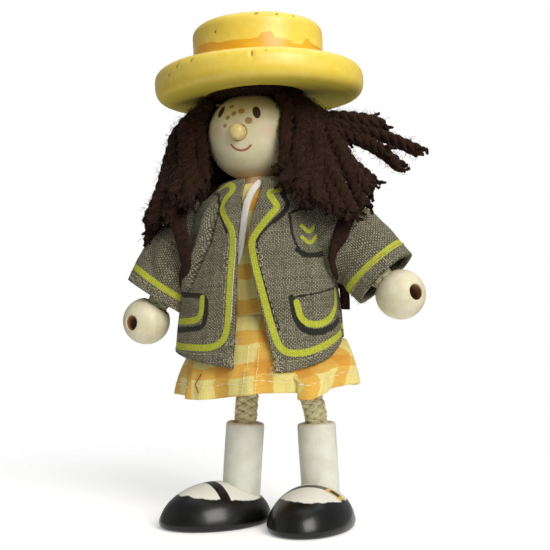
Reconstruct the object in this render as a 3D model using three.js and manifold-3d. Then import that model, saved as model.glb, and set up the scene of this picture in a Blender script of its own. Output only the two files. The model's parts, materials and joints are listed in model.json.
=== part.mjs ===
// A jointed wooden figure: a turned head under a turned hat, a block torso, cotton rope limbs
// with a bending wire inside, bead hands, dowel legs in solid shoes, and sewn clothes with a satchel.
// Millimetres and degrees. +Z is up, the figure faces -Y, and its own right is -X.
import * as THREE from "three";
import { mergeVertices } from "three/addons/utils/BufferGeometryUtils.js";
import Module from "manifold-3d";

const wasm = await Module();
wasm.setup();

// Clearances
const GAP = 0.3;
const SEAM = 0.4;

// Stance
const HIP_HEIGHT = 42;
const HIP_OFFSET = 2.8;
const BODY_LEAN = 5.3;
const SIDES = {
  right: { sign: -1, armDrop: 52, armForward: 8, armReach: 22.8, foot: [-4.76, 1.3], toeOut: 43, grip: [1, 9] },
  left: { sign: 1, armDrop: 47, armForward: 7, armReach: 24.6, foot: [14.04, 4.9], toeOut: -8, grip: [19, 37] },
};

// Joint ranges, from the stance that is modelled
const NECK_RANGE = [-60, 60];
const ARM_SWING_RANGE = [-35, 60];
const ARM_RAISE_RANGE = { right: [-2, 40], left: [-16, 35] };
const HIP_SWING_RANGE = [-35, 60];
const LEG_SPREAD_RANGE = [0, 22];
const FOOT_TURN_RANGE = { right: [-18, 27], left: [-4, 45] };

// Torso block
const TORSO_WIDTH = 25;
const TORSO_DEPTH = 17;
const TORSO_HEIGHT = 37;
const TORSO_EDGE = 1.2;
const SHOULDER_RISE = 9;
const NECK_SHELF = 5;
const ARM_DEPTH = 10;
const LEG_SPACING = 11.2;
const LEG_SEAT = 12;

// Rope and wire
const ROPE_RADIUS = 2.8;
const WIRE_RADIUS = 0.6;

// Arms and hands
const ARM_SEAT = 1;
const ARM_BEND = 4.5;
const HAND_RADIUS = 5.6;
const HAND_SEAT = 3.4;
const GRIP_RADIUS = 1.7;

// Legs and shoes
const TUBE_RADIUS = 4.5;
const TUBE_TOP = 23;
const TUBE_EDGE = 0.6;
const TUBE_SEAT = 8;
const LEG_TILT = 3.6;
const SHOE_LENGTH = 28;
const SHOE_WIDTH = 19;
const SHOE_HEIGHT = 9.6;
const SHOE_SETBACK = 6.3;
const SHOE_FLOOR = 3;

// Neck, head and nose
const NECK_RADIUS = 3;
const NECK_SEAT = 5.7;
const NECK_GAP = 1.1;
const HEAD_RADIUS = 10.4;
const HEAD_SEAT = 6.7;
const NOSE_RADIUS = 1.85;
const NOSE_SEAT = 3;
const NOSE_PROUD = 2.5;
const NOSE_DROP = 0.8;

// Hat
const BRIM_RADIUS = 24.6;
const BRIM_HEIGHT = 7;
const BRIM_ROUND = 3.6;
const CROWN_RADIUS = 15.35;
const CROWN_HEIGHT = 10.3;
const CROWN_ROUND = 2.4;
const HAT_SHIFT = 2.8;
const HAT_TILT = 3.8;
const HAT_PITCH = 2.5;
const HAT_RECESS_RADIUS = 10.4;
const HAT_RECESS = 1.6;
const HAT_SINK = 2;
const HAT_PEG_RADIUS = 2;
const HAT_PEG_IN_HEAD = 6;
const HAT_PEG_IN_HAT = 6;

// Hair: ends of the yarn locks, measured from the middle of the torso top, and degrees each is swept
const LOCK_RADIUS = 1.9;
const LOCKS = {
  hair_right: [[-11, -10, -1.5], [-14, -10.2, -2.8], [-17, -9.6, -3.6], [-20.5, -8.5, -5],
    [-24, -6.5, -7.5], [-26.5, -3.5, -9], [-25.5, 0.5, -5], [-23, 4, -2.5], [-19, 8, -0.5]],
  hair_left: [[10.5, -10.6, -1, 35], [13.5, -10.8, -2.4, 33], [17, -10.5, -3, 30],
    [21, -9.5, -5.2, 27], [24.5, -8, -7, 24], [28, -4, -3, 18], [34.5, -1, -1.5, 12], [38.5, 1, 3, 10],
    [28, 4, 12, 5], [23.5, 8, 0.5]],
  hair_back: [[-13, 13.6, -0.5], [-8.5, 15.8, -1.4], [-3, 17, -1.2], [3, 17, -1.6], [8.5, 15.8, -1.2],
    [13.5, 13.4, -0.6]],
};

// Clothes
const CLOTH = 0.7;
const WOOL = 0.8;
const BODICE_DROP = 4;
const SKIRT_TOP = 6;
const SKIRT_HEM = -11.5;
const SKIRT_FLARE = [7, 5.3];
const SKIRT_FOLDS = 9;
const FOLD_DEPTH = 1.1;
// How late the flare and the folds open on the way down
const SKIRT_SWELL = 1.9;
const FOLD_SWELL = 2.4;
const SKIRT_SPLIT = 21;
const COLLAR_WIDTH = 2.2;
// Way of the crossed neckline: angle from the front, distance below its top
const NECKLINE = [[-34, 17], [-24, 16], [-15, 14], [-8, 10.5], [-4, 7], [-1, 3.5], [4, 0]];
const HANG_DROP = 8;
// Height as a share of the torso height, then the room left at the sides and at front and back
const JACKET_ROOM = [[-0.176, 8, 7.5], [0, 7.6, 7.1], [0.27, 6.6, 5.5], [0.54, 5.3, 3.9], [0.757, 4.5, 3.5],
  [0.865, 3, 3], [0.946, -1, 1.4], [1.014, -4.5, -1.2]];
// Angle from the front towards the figure's left, then the height of the hem there
const JACKET_HEM = [[-90, 0.2], [-62, -0.6], [-35, -2.7], [-17, -4.1], [0, -5.5], [25, -7.1], [43, -6.4],
  [66, -4.7], [86, -1.3], [96, 0.2]];
// Height as a share of the torso height, then the angles of the right and left front edges
const FRONT_EDGES = [[-0.176, -3, 24.5], [0.108, -2.5, 17], [0.324, -3.5, 10.5], [0.54, -4, 4],
  [0.67, -4, 4], [0.811, -1.5, 9], [1.014, -2, 27]];
const SLEEVE_RADIUS = 7.3;
const SLEEVE_FLATNESS = 0.82;
const CUFF_COVER = 4;

// Satchel
const SATCHEL_WIDTH = 35;
const SATCHEL_HEIGHT = 20;
const SATCHEL_DEPTH = 7.5;
const SATCHEL_DROP = 5;
const SATCHEL_ROUND = 1.4;
const FLAP_LENGTH = 13;
const FELT = 1.1;
const STRAP_WIDTH = 3.6;
// How far a strap's upper end lies in from the bag's side and above its top
const STRAP_INSET = 4.5;
const STRAP_RISE = 0.9;
// Each strap: angle round the jacket, height from the torso top, stand-off, and the way its face looks
const STRAPS = {
  right: [[123.5, -2.6, 5.2, 0, 0.1, 1], [93.9, -1.6, 5.3, 0, 0, 1],
    [69.4, -3.2, 5.07, 0, -0.6, 0.8], [54.2, -8.5, 4.14, 0.1, -1, 0.2], [51.2, -15, 3.97, 0.2, -1, 0],
    [54.5, -21.5, 3.74, 0.6, -0.8, 0], [71, -27.4, 1.3, 1, -0.3, 0], [90, -29, 1.1, 1, 0, 0],
    [109.4, -27.6, 1.5, 0.95, 0.3, 0], [132.1, -24, 2.59, 0.7, 0.7, 0],
    [139.5, -23, 3.88, 0.9, 0.4, 0]],
  left: [[122.3, -2.6, 5.68, 0, 0.1, 1], [93.4, -2.4, 6.8, 0.2, 0, 1],
    [75.5, -4.6, 6.63, 0.2, -0.6, 0.8], [62.7, -9.5, 6.7, 0.1, -1, 0.2],
    [58.5, -15.5, 6.41, 0.1, -1, 0], [60.9, -21.2, 5.01, 0.5, -0.9, 0],
    [77.3, -25.8, 2.17, 1, -0.2, 0], [104.8, -26, 1.82, 0.96, 0.3, 0], [132.1, -24, 2.59, 0.7, 0.7, 0],
    [139.5, -23, 3.88, 0.9, 0.4, 0]],
};

const turn = THREE.MathUtils.degToRad;
const vec = (x, y, z) => new THREE.Vector3(x, y, z);

// Closed solids for adding and cutting
function solid(geometry) {
  const bare = new THREE.BufferGeometry();
  bare.setAttribute("position", geometry.getAttribute("position").clone());
  bare.setIndex(geometry.index ? geometry.index.clone() : null);
  const merged = mergeVertices(bare, 1e-3);
  return new wasm.Manifold(new wasm.Mesh({
    numProp: 3,
    vertProperties: new Float32Array(merged.attributes.position.array),
    triVerts: new Uint32Array(merged.index.array),
  }));
}

function surface(body) {
  const mesh = body.getMesh();
  const geometry = new THREE.BufferGeometry();
  geometry.setAttribute("position", new THREE.BufferAttribute(new Float32Array(mesh.vertProperties), 3));
  geometry.setIndex(new THREE.BufferAttribute(new Uint32Array(mesh.triVerts), 1));
  return geometry;
}

function cut(geometry, ...tools) {
  return surface(tools.reduce((body, tool) => body.subtract(solid(tool)), solid(geometry)));
}

function fuse(geometries) {
  return surface(geometries.map(solid).reduce((body, next) => body.add(next)));
}

// A turned piece about Z, from its outline of radius and height
function turned(outline, segments = 28) {
  const points = outline.map(([r, z]) => new THREE.Vector2(r, z));
  return new THREE.LatheGeometry(points, segments).rotateX(Math.PI / 2);
}

// Points of a rounded corner in an outline
function corner(r, z, radius, from, to, count = 5) {
  const points = [];
  for (let i = 0; i <= count; i += 1) {
    const a = turn(from + ((to - from) * i) / count);
    points.push([r + radius * Math.cos(a), z + radius * Math.sin(a)]);
  }
  return points;
}

// A plain round bar from one point to another
function bar(from, to, radius, segments = 16) {
  const along = vec().subVectors(to, from);
  const geometry = new THREE.CylinderGeometry(radius, radius, along.length(), segments);
  const spin = new THREE.Quaternion().setFromUnitVectors(vec(0, 1, 0), along.clone().normalize());
  geometry.applyQuaternion(spin);
  const middle = vec().addVectors(from, to).multiplyScalar(0.5);
  return geometry.translate(middle.x, middle.y, middle.z);
}

// A cord along a path, with a hollow down its middle when it has one
function cord(path, radius, hollow, steps, sides = 4) {
  const section = new THREE.Shape().absarc(0, 0, radius, 0, Math.PI * 2, false);
  if (hollow > 0) {
    section.holes.push(new THREE.Path().absarc(0, 0, hollow, 0, Math.PI * 2, true));
  }
  return new THREE.ExtrudeGeometry(section, {
    steps,
    curveSegments: sides,
    bevelEnabled: false,
    extrudePath: path,
  });
}

// A straight run and then a bend, as one path
function pathOf(...curves) {
  const path = new THREE.CurvePath();
  curves.forEach((curve) => path.add(curve));
  return path;
}

// Cloth of even thickness: place(u, v) is its outer face, with u around and v upwards
function cloth(place, around, up, thickness, closed) {
  const columns = closed ? around : around + 1;
  const step = 1e-3;
  const vertices = [];
  const triangles = [];
  const inside = columns * (up + 1);
  const lining = [];
  for (let j = 0; j <= up; j += 1) {
    for (let i = 0; i < columns; i += 1) {
      const u = i / around;
      const v = j / up;
      const u0 = closed ? u - step : Math.max(0, u - step);
      const u1 = closed ? u + step : Math.min(1, u + step);
      const across = place(u1, v).sub(place(u0, v));
      const rise = place(u, Math.min(1, v + step)).sub(place(u, Math.max(0, v - step)));
      const normal = across.cross(rise).normalize();
      const point = place(u, v);
      lining.push(point.clone().addScaledVector(normal, -thickness));
      vertices.push(point.x, point.y, point.z);
    }
  }
  lining.forEach((point) => vertices.push(point.x, point.y, point.z));
  const at = (i, j) => (i % columns) + j * columns;
  const quad = (a, b, c, d) => triangles.push(a, b, c, a, c, d);
  for (let j = 0; j < up; j += 1) {
    for (let i = 0; i < around; i += 1) {
      const ring = [at(i, j), at(i + 1, j), at(i + 1, j + 1), at(i, j + 1)];
      quad(...ring);
      quad(...ring.map((k) => k + inside).reverse());
    }
  }
  for (let i = 0; i < around; i += 1) {
    quad(at(i, 0) + inside, at(i + 1, 0) + inside, at(i + 1, 0), at(i, 0));
    quad(at(i, up), at(i + 1, up), at(i + 1, up) + inside, at(i, up) + inside);
  }
  for (let j = 0; j < up && !closed; j += 1) {
    quad(at(0, j), at(0, j + 1), at(0, j + 1) + inside, at(0, j) + inside);
    quad(at(around, j) + inside, at(around, j + 1) + inside, at(around, j + 1), at(around, j));
  }
  const geometry = new THREE.BufferGeometry();
  geometry.setAttribute("position", new THREE.Float32BufferAttribute(vertices, 3));
  geometry.setIndex(triangles);
  return geometry;
}

// A flat band along waypoints that each carry the direction its face looks in
function band(waypoints, width, thickness, steps) {
  const path = new THREE.CatmullRomCurve3(waypoints.map(([x, y, z]) => vec(x, y, z)));
  const faces = new THREE.CatmullRomCurve3(waypoints.map(([, , , x, y, z]) => vec(x, y, z)));
  const vertices = [];
  const triangles = [];
  for (let i = 0; i <= steps; i += 1) {
    const t = i / steps;
    const point = path.getPoint(t);
    const along = path.getTangent(t);
    const side = vec().crossVectors(along, faces.getPoint(t)).normalize();
    const face = vec().crossVectors(side, along).normalize();
    [[-1, -1], [1, -1], [1, 1], [-1, 1]].forEach(([p, q]) => {
      const edge = point.clone().addScaledVector(side, (p * width) / 2);
      edge.addScaledVector(face, (q * thickness) / 2);
      vertices.push(edge.x, edge.y, edge.z);
    });
  }
  const quad = (a, b, c, d) => triangles.push(a, b, c, a, c, d);
  for (let i = 0; i < steps; i += 1) {
    for (let k = 0; k < 4; k += 1) {
      const next = (k + 1) % 4;
      quad(4 * i + k, 4 * i + 4 + k, 4 * i + 4 + next, 4 * i + next);
    }
  }
  quad(0, 1, 2, 3);
  quad(4 * steps + 3, 4 * steps + 2, 4 * steps + 1, 4 * steps);
  const geometry = new THREE.BufferGeometry();
  geometry.setAttribute("position", new THREE.Float32BufferAttribute(vertices, 3));
  geometry.setIndex(triangles);
  return geometry;
}

// Smooth value at a height, from rows that start with the height
function between(rows, height, column) {
  const last = rows.length - 1;
  if (height <= rows[0][0]) {
    return rows[0][column];
  }
  for (let i = 0; i < last; i += 1) {
    const [low, high] = [rows[i], rows[i + 1]];
    if (height <= high[0]) {
      const t = (height - low[0]) / (high[0] - low[0]);
      return low[column] + (high[column] - low[column]) * t;
    }
  }
  return rows[last][column];
}

// A point on an upright oval, with the angle measured from the front towards the figure's left
function onOval(angle, width, depth, height) {
  return vec(width * Math.sin(angle), -depth * Math.cos(angle), height);
}

// Scene: the body leans, the legs stand on the floor
const figure = new THREE.Group();
const body = new THREE.Group();
body.position.set(HIP_OFFSET, 0, HIP_HEIGHT);
body.rotation.y = -turn(BODY_LEAN);
figure.add(body);
figure.updateMatrixWorld(true);

function paint(color, roughness, metalness = 0) {
  return new THREE.MeshStandardMaterial({ color, roughness, metalness });
}

// A hinge: its child body turns about an axis of the frame it is drawn in
function hinge(parent, frame, name, child, axis, range, at) {
  const pivot = new THREE.Group();
  parent.add(pivot);
  parent.updateMatrixWorld(true);
  pivot.position.copy(parent.worldToLocal(frame.localToWorld(at.clone())));
  pivot.updateMatrixWorld(true);
  pivot.userData.joint = { name, child, axis, range, frame };
  return pivot;
}

// A named piece drawn in one frame and carried by a group of the same or another frame
function piece(group, frame, name, geometry, material) {
  geometry.applyMatrix4(frame.matrixWorld);
  geometry.applyMatrix4(group.matrixWorld.clone().invert());
  const mesh = new THREE.Mesh(geometry, material);
  mesh.name = name;
  group.add(mesh);
}

// Torso block with its bores
const depthShare = TORSO_DEPTH / TORSO_WIDTH;
const shoulderStart = TORSO_HEIGHT - SHOULDER_RISE;
const boreRadius = ROPE_RADIUS + GAP;
const armHeight = TORSO_HEIGHT - ARM_DEPTH;
const bodiceTop = TORSO_HEIGHT - BODICE_DROP;
const hangHeight = TORSO_HEIGHT - HANG_DROP;

function torsoReach(height) {
  const up = Math.min(1, Math.max(0, (height - shoulderStart) / SHOULDER_RISE));
  return NECK_SHELF + (TORSO_WIDTH / 2 - NECK_SHELF) * Math.sqrt(1 - up * up);
}

function torsoBlock() {
  const outline = [[0, 0], ...corner(TORSO_WIDTH / 2 - TORSO_EDGE, TORSO_EDGE, TORSO_EDGE, -90, 0, 3)];
  for (let i = 0; i <= 6; i += 1) {
    const height = shoulderStart + SHOULDER_RISE * Math.sin((Math.PI / 2) * (i / 6));
    outline.push([torsoReach(height), height]);
  }
  outline.push([0, TORSO_HEIGHT]);
  const block = turned(outline).scale(1, depthShare, 1);
  const far = TORSO_WIDTH;
  const arms = bar(vec(-far, 0, armHeight), vec(far, 0, armHeight), boreRadius);
  const neck = bar(vec(0, 0, TORSO_HEIGHT - NECK_SEAT - GAP), vec(0, 0, TORSO_HEIGHT + 1), NECK_RADIUS + GAP);
  const legs = [-1, 1].map((sign) => {
    const x = (sign * LEG_SPACING) / 2;
    return bar(vec(x, 0, -1), vec(x, 0, LEG_SEAT + GAP), boreRadius);
  });
  return cut(block, arms, neck, ...legs);
}

const beech = paint(0xd9b98a, 0.65);
const cotton = paint(0xd8cbb0, 0.95);
const steel = paint(0x8c8c88, 0.4, 1);
piece(body, body, "torso_block", torsoBlock(), beech.clone());

const headBottom = TORSO_HEIGHT + NECK_GAP;
const headMiddle = headBottom + HEAD_RADIUS;
const headTop = headMiddle + HEAD_RADIUS;
const neckTop = headBottom + HEAD_SEAT;
piece(body, body, "neck_peg", bar(vec(0, 0, TORSO_HEIGHT - NECK_SEAT), vec(0, 0, neckTop), NECK_RADIUS),
  beech.clone());

const middleEnd = TORSO_WIDTH / 2 - ARM_SEAT;
const middlePath = new THREE.LineCurve3(vec(-middleEnd, 0, armHeight), vec(middleEnd, 0, armHeight));
const wireHollow = WIRE_RADIUS + GAP;
piece(body, body, "arm_rope_middle", cord(middlePath, ROPE_RADIUS, wireHollow, 1), cotton.clone());
piece(body, body, "arm_wire_middle", cord(middlePath, WIRE_RADIUS, 0, 1, 3), steel.clone());

// Head, nose and hat
const neck = hinge(body, body, "neck_turn", "head", vec(0, 0, 1), NECK_RANGE, vec(0, 0, neckTop));
const skin = paint(0xe8d4ad, 0.5);
const hatBottom = headTop - HAT_SINK;
const hatTop = hatBottom + BRIM_HEIGHT + CROWN_HEIGHT;
const pegBottom = headTop - HAT_PEG_IN_HEAD;
const pegTop = headTop + HAT_PEG_IN_HAT;
const noseHeight = headMiddle - NOSE_DROP;

function headBall(grown) {
  const ball = new THREE.SphereGeometry(HEAD_RADIUS + grown, 24, 14).rotateX(Math.PI / 2);
  return ball.translate(0, 0, headMiddle);
}

function head() {
  const bores = [
    bar(vec(0, 0, headBottom - 2), vec(0, 0, neckTop + GAP), NECK_RADIUS + GAP),
    bar(vec(0, 0, pegBottom - GAP), vec(0, 0, headTop + 1), HAT_PEG_RADIUS + GAP),
    bar(vec(0, -HEAD_RADIUS - 2, noseHeight), vec(0, NOSE_SEAT - HEAD_RADIUS, noseHeight), NOSE_RADIUS + GAP),
  ];
  return cut(headBall(0), ...bores);
}

function nose() {
  const dome = NOSE_PROUD - 1;
  const outline = [[0, GAP], [NOSE_RADIUS, GAP], [NOSE_RADIUS, NOSE_SEAT + 1]];
  for (let i = 1; i <= 4; i += 1) {
    const a = turn(22.5 * i);
    outline.push([NOSE_RADIUS * Math.cos(a), NOSE_SEAT + 1 + dome * Math.sin(a)]);
  }
  const start = NOSE_SEAT - HEAD_RADIUS;
  return turned(outline, 16).rotateX(Math.PI / 2).translate(0, start, noseHeight);
}

function onHead(shape) {
  return shape.rotateY(turn(HAT_TILT)).rotateX(turn(HAT_PITCH)).translate(HAT_SHIFT, 0, hatBottom);
}

function hatShape(grown) {
  const middle = BRIM_RADIUS - BRIM_ROUND;
  const crown = CROWN_RADIUS - CROWN_ROUND;
  const outline = [
    [0, -grown],
    ...corner(middle, BRIM_ROUND, BRIM_ROUND + grown, -90, 0, 4),
    ...corner(middle, BRIM_HEIGHT - BRIM_ROUND, BRIM_ROUND + grown, 0, 90, 4),
    [CROWN_RADIUS + grown, BRIM_HEIGHT + grown],
    ...corner(crown, BRIM_HEIGHT + CROWN_HEIGHT - CROWN_ROUND, CROWN_ROUND + grown, 0, 90, 4),
    [0, BRIM_HEIGHT + CROWN_HEIGHT + grown],
  ];
  return onHead(turned(outline, 32));
}

function hat() {
  const seat = bar(vec(0, 0, pegBottom), vec(0, 0, pegTop + GAP), HAT_PEG_RADIUS + GAP);
  const recess = onHead(bar(vec(-HAT_SHIFT, 0, -1), vec(-HAT_SHIFT, 0, HAT_RECESS), HAT_RECESS_RADIUS, 32));
  return cut(hatShape(0), recess, headBall(GAP), seat);
}

piece(neck, body, "head_ball", head(), skin.clone());
piece(neck, body, "nose_peg", nose(), skin.clone());
piece(neck, body, "hat", hat(), paint(0xe6c84a, 0.35));
piece(neck, body, "hat_peg", bar(vec(0, 0, pegBottom), vec(0, 0, pegTop), HAT_PEG_RADIUS), beech.clone());

// Arms: the rope leaves the torso level and bends down to the hand
const arms = Object.entries(SIDES).map(([side, stance]) => {
  const out = vec(stance.sign, 0, 0);
  const forward = turn(stance.armForward);
  const drop = turn(stance.armDrop);
  const down = vec(0, -Math.sin(forward), -Math.cos(forward));
  const start = vec(stance.sign * (middleEnd + GAP), 0, armHeight);
  const along = out.clone().multiplyScalar(Math.cos(drop)).addScaledVector(down, Math.sin(drop));
  const above = out.clone().multiplyScalar(Math.sin(drop)).addScaledVector(down, -Math.cos(drop));
  const front = vec().crossVectors(above, along).multiplyScalar(stance.sign);
  const elbow = start.clone()
    .addScaledVector(out, ARM_BEND * Math.sin(drop))
    .addScaledVector(down, ARM_BEND * (1 - Math.cos(drop)));
  const pull = (4 / 3) * Math.tan(drop / 4) * ARM_BEND;
  const bend = new THREE.CubicBezierCurve3(start, start.clone().addScaledVector(out, pull),
    elbow.clone().addScaledVector(along, -pull), elbow);
  const on = (reach) => elbow.clone().addScaledVector(along, reach);
  return { side, stance, start, bend, along, above, front, elbow, on, reach: stance.armReach };
});

function handBead({ stance, along, above, front, on, reach }) {
  const middle = on(reach);
  const ball = new THREE.SphereGeometry(HAND_RADIUS, 16, 11).translate(middle.x, middle.y, middle.z);
  const seat = bar(on(reach - HAND_SEAT + 1.5), on(reach - HAND_RADIUS - 3), boreRadius, 16);
  const [outward, upward] = stance.grip.map((tilt) => Math.tan(turn(tilt)));
  const grip = front.clone().addScaledVector(along, -outward).addScaledVector(above, -upward).normalize();
  const far = HAND_RADIUS + 2;
  const lower = middle.clone().addScaledVector(along, GRIP_RADIUS);
  const [inner, outer] = [-far, far].map((reached) => lower.clone().addScaledVector(grip, reached));
  const hole = bar(inner, outer, GRIP_RADIUS, 12);
  return cut(ball, seat, hole);
}

// Cloth hangs straight down below the height that holds it, though the body leans
function plumb(height, top) {
  return Math.min(0, height - top) * Math.tan(turn(BODY_LEAN));
}

// Jacket outline, with the room it leaves round the torso at each height
function jacketPoint(angle, height, grown) {
  const width = TORSO_WIDTH / 2 + between(JACKET_ROOM, height / TORSO_HEIGHT, 1) + grown;
  const depth = TORSO_DEPTH / 2 + between(JACKET_ROOM, height / TORSO_HEIGHT, 2) + grown;
  return onOval(angle, width, depth, height).add(vec(plumb(height, hangHeight), 0, 0));
}

const collarTop = TORSO_HEIGHT + 0.5;

function jacketForm(grown) {
  const levels = JACKET_ROOM.slice(1, -1).map(([share]) => share * TORSO_HEIGHT);
  const lowest = Math.min(...JACKET_HEM.map(([, height]) => height));
  const rows = [lowest - grown, ...levels, collarTop + grown];
  const around = 32;
  const vertices = [];
  const triangles = [];
  rows.forEach((height) => {
    for (let i = 0; i < around; i += 1) {
      const point = jacketPoint((Math.PI * 2 * i) / around, height, grown);
      vertices.push(point.x, point.y, point.z);
    }
  });
  const last = rows.length - 1;
  vertices.push(plumb(rows[0], hangHeight), 0, rows[0], 0, 0, rows[last]);
  const foot = rows.length * around;
  for (let i = 0; i < around; i += 1) {
    const n = (i + 1) % around;
    for (let j = 0; j < last; j += 1) {
      const [a, b, c, d] = [j * around + i, j * around + n, (j + 1) * around + n, (j + 1) * around + i];
      triangles.push(a, b, c, a, c, d);
    }
    triangles.push(foot, n, i, foot + 1, last * around + i, last * around + n);
  }
  const geometry = new THREE.BufferGeometry();
  geometry.setAttribute("position", new THREE.Float32BufferAttribute(vertices, 3));
  geometry.setIndex(triangles);
  return geometry;
}

function hemHeight(angle) {
  return between(JACKET_HEM, THREE.MathUtils.radToDeg(angle), 1);
}

// A jacket panel between two edges, each an angle that may change with height
function jacketPanel(from, to, around) {
  const place = (u, v) => {
    const start = hemHeight(from(0) + (to(0) - from(0)) * u);
    const height = start + (collarTop - start) * v;
    return jacketPoint(from(height) + (to(height) - from(height)) * u, height, 0);
  };
  const panel = cloth(place, around, 8, WOOL, false);
  const holes = arms.map(({ on }) => bar(on(-6), on(16), ROPE_RADIUS + 2, 16));
  return cut(panel, ...holes);
}

const sideSeam = turn(90);
const seamHalf = SEAM / 2 / (TORSO_WIDTH / 2);
const tweed = paint(0x6b665c, 0.95);
const frontEdge = (column) => (height) => turn(between(FRONT_EDGES, height / TORSO_HEIGHT, column));
piece(body, body, "jacket_front_right",
  jacketPanel(() => seamHalf - sideSeam, frontEdge(1), 9), tweed.clone());
piece(body, body, "jacket_front_left",
  jacketPanel(frontEdge(2), () => sideSeam - seamHalf, 9), tweed.clone());
piece(body, body, "jacket_back",
  jacketPanel(() => sideSeam + seamHalf, () => Math.PI * 2 - sideSeam - seamHalf, 16), tweed.clone());

// Dress: bodice on the torso, skirt halves that meet at a pleat, white neckline edging
const bodiceRoom = GAP + CLOTH;

function bodice() {
  const place = (u, v) => {
    const height = bodiceTop - (bodiceTop - 0.5) * (1 - v) ** 2;
    const reach = torsoReach(height);
    return onOval(Math.PI * 2 * u, reach + bodiceRoom, reach * depthShare + bodiceRoom, height);
  };
  const far = TORSO_WIDTH;
  const armholes = bar(vec(-far, 0, armHeight), vec(far, 0, armHeight), ROPE_RADIUS + 1);
  return cut(cloth(place, 28, 5, CLOTH, true), armholes);
}

function skirtHalf(from, to) {
  const place = (u, v) => {
    const fall = 1 - v;
    const angle = from + (to - from) * u;
    const flare = fall ** SKIRT_SWELL;
    const fold = FOLD_DEPTH * fall ** FOLD_SWELL * Math.cos(SKIRT_FOLDS * angle);
    const width = TORSO_WIDTH / 2 + 2 * bodiceRoom + SKIRT_FLARE[0] * flare + fold;
    const depth = TORSO_DEPTH / 2 + 2 * bodiceRoom + SKIRT_FLARE[1] * flare + fold;
    const height = SKIRT_HEM + (SKIRT_TOP - SKIRT_HEM) * v;
    const sway = plumb(height, SKIRT_TOP);
    return onOval(angle, width, depth, height).add(vec(sway, 0, 0));
  };
  return cloth(place, 28, 4, CLOTH, false);
}

function neckline() {
  const room = bodiceRoom + GAP + CLOTH / 2;
  const top = bodiceTop - COLLAR_WIDTH / 2;
  const waypoints = NECKLINE.map(([angle, below]) => {
    const height = top - below;
    const reach = torsoReach(height);
    const point = onOval(turn(angle), reach + room, reach * depthShare + room, height);
    return [point.x, point.y, point.z, Math.sin(turn(angle)), -Math.cos(turn(angle)), 0.25];
  });
  return band(waypoints, COLLAR_WIDTH, CLOTH, 18);
}

const gingham = paint(0xe9c766, 0.9);
const splitHalf = SEAM / 2 / (TORSO_WIDTH / 2);
const split = turn(SKIRT_SPLIT);
piece(body, body, "dress_bodice", bodice(), gingham.clone());
piece(body, body, "dress_skirt_right",
  skirtHalf(split - Math.PI + splitHalf, split - splitHalf), gingham.clone());
piece(body, body, "dress_skirt_left",
  skirtHalf(split + splitHalf, split + Math.PI - splitHalf), gingham.clone());
piece(body, body, "dress_neckline", neckline(), paint(0xf2efe6, 0.9));

// Satchel: bag, flap and two straps
const bagTop = TORSO_HEIGHT - SATCHEL_DROP;
const bagBottom = bagTop - SATCHEL_HEIGHT;
const bagFront = TORSO_DEPTH / 2 + between(JACKET_ROOM, bagBottom / TORSO_HEIGHT, 2) + SEAM;
const felt = paint(0x4a3122, 0.95);

function bag() {
  const half = SATCHEL_WIDTH / 2;
  const outline = new THREE.Shape();
  const inset = SATCHEL_ROUND;
  outline.moveTo(inset - half, bagBottom + inset);
  outline.lineTo(half - inset, bagBottom + inset);
  outline.lineTo(half - inset, bagTop - inset);
  outline.lineTo(inset - half, bagTop - inset);
  outline.closePath();
  const box = new THREE.ExtrudeGeometry(outline, {
    depth: SATCHEL_DEPTH - 2 * inset,
    bevelThickness: inset,
    bevelSize: inset,
    bevelSegments: 3,
  });
  return box.rotateX(Math.PI / 2).translate(0, bagFront + SATCHEL_DEPTH - inset, 0);
}

function flap() {
  const back = bagFront + SATCHEL_DEPTH + GAP;
  const top = bagTop + GAP;
  const round = SATCHEL_ROUND + GAP;
  const ring = (radius) => [3, 2, 1, 0].map((k) => {
    const a = turn(30 * k);
    return new THREE.Vector2(back - round + radius * Math.cos(a), top - round + radius * Math.sin(a));
  });
  const start = bagFront + SATCHEL_ROUND;
  const outline = new THREE.Shape([
    new THREE.Vector2(start, top + FELT),
    new THREE.Vector2(start, top),
    ...ring(round),
    new THREE.Vector2(back, bagTop - FLAP_LENGTH),
    new THREE.Vector2(back + FELT, bagTop - FLAP_LENGTH),
    ...ring(round + FELT).reverse(),
  ]);
  const width = SATCHEL_WIDTH - 2 * SATCHEL_ROUND;
  const sheet = new THREE.ExtrudeGeometry(outline, { depth: width, bevelEnabled: false });
  sheet.applyMatrix4(new THREE.Matrix4().makeBasis(vec(0, 1, 0), vec(0, 0, 1), vec(1, 0, 0)));
  return sheet.translate(-width / 2, 0, 0);
}

function strap({ side, stance }, grown) {
  const waypoints = STRAPS[side].map(([angle, above, room, p, q, r]) => {
    const point = jacketPoint(turn(angle) * stance.sign, TORSO_HEIGHT + above, room);
    return [point.x, point.y, point.z, p * stance.sign, q, r];
  });
  const onBag = stance.sign * (SATCHEL_WIDTH / 2 - STRAP_INSET);
  waypoints.unshift([onBag, bagFront + SATCHEL_DEPTH * 0.39, bagTop + STRAP_RISE, 0, 0, 1]);
  return band(waypoints, STRAP_WIDTH + 2 * grown, FELT + 2 * grown, 28);
}

piece(body, body, "satchel_bag", bag(), felt.clone());
piece(body, body, "satchel_flap", cut(flap(), ...arms.map((arm) => strap(arm, GAP))), felt.clone());
arms.forEach((arm) => piece(body, body, `satchel_strap_${arm.side}`, strap(arm, 0), felt.clone()));

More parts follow.
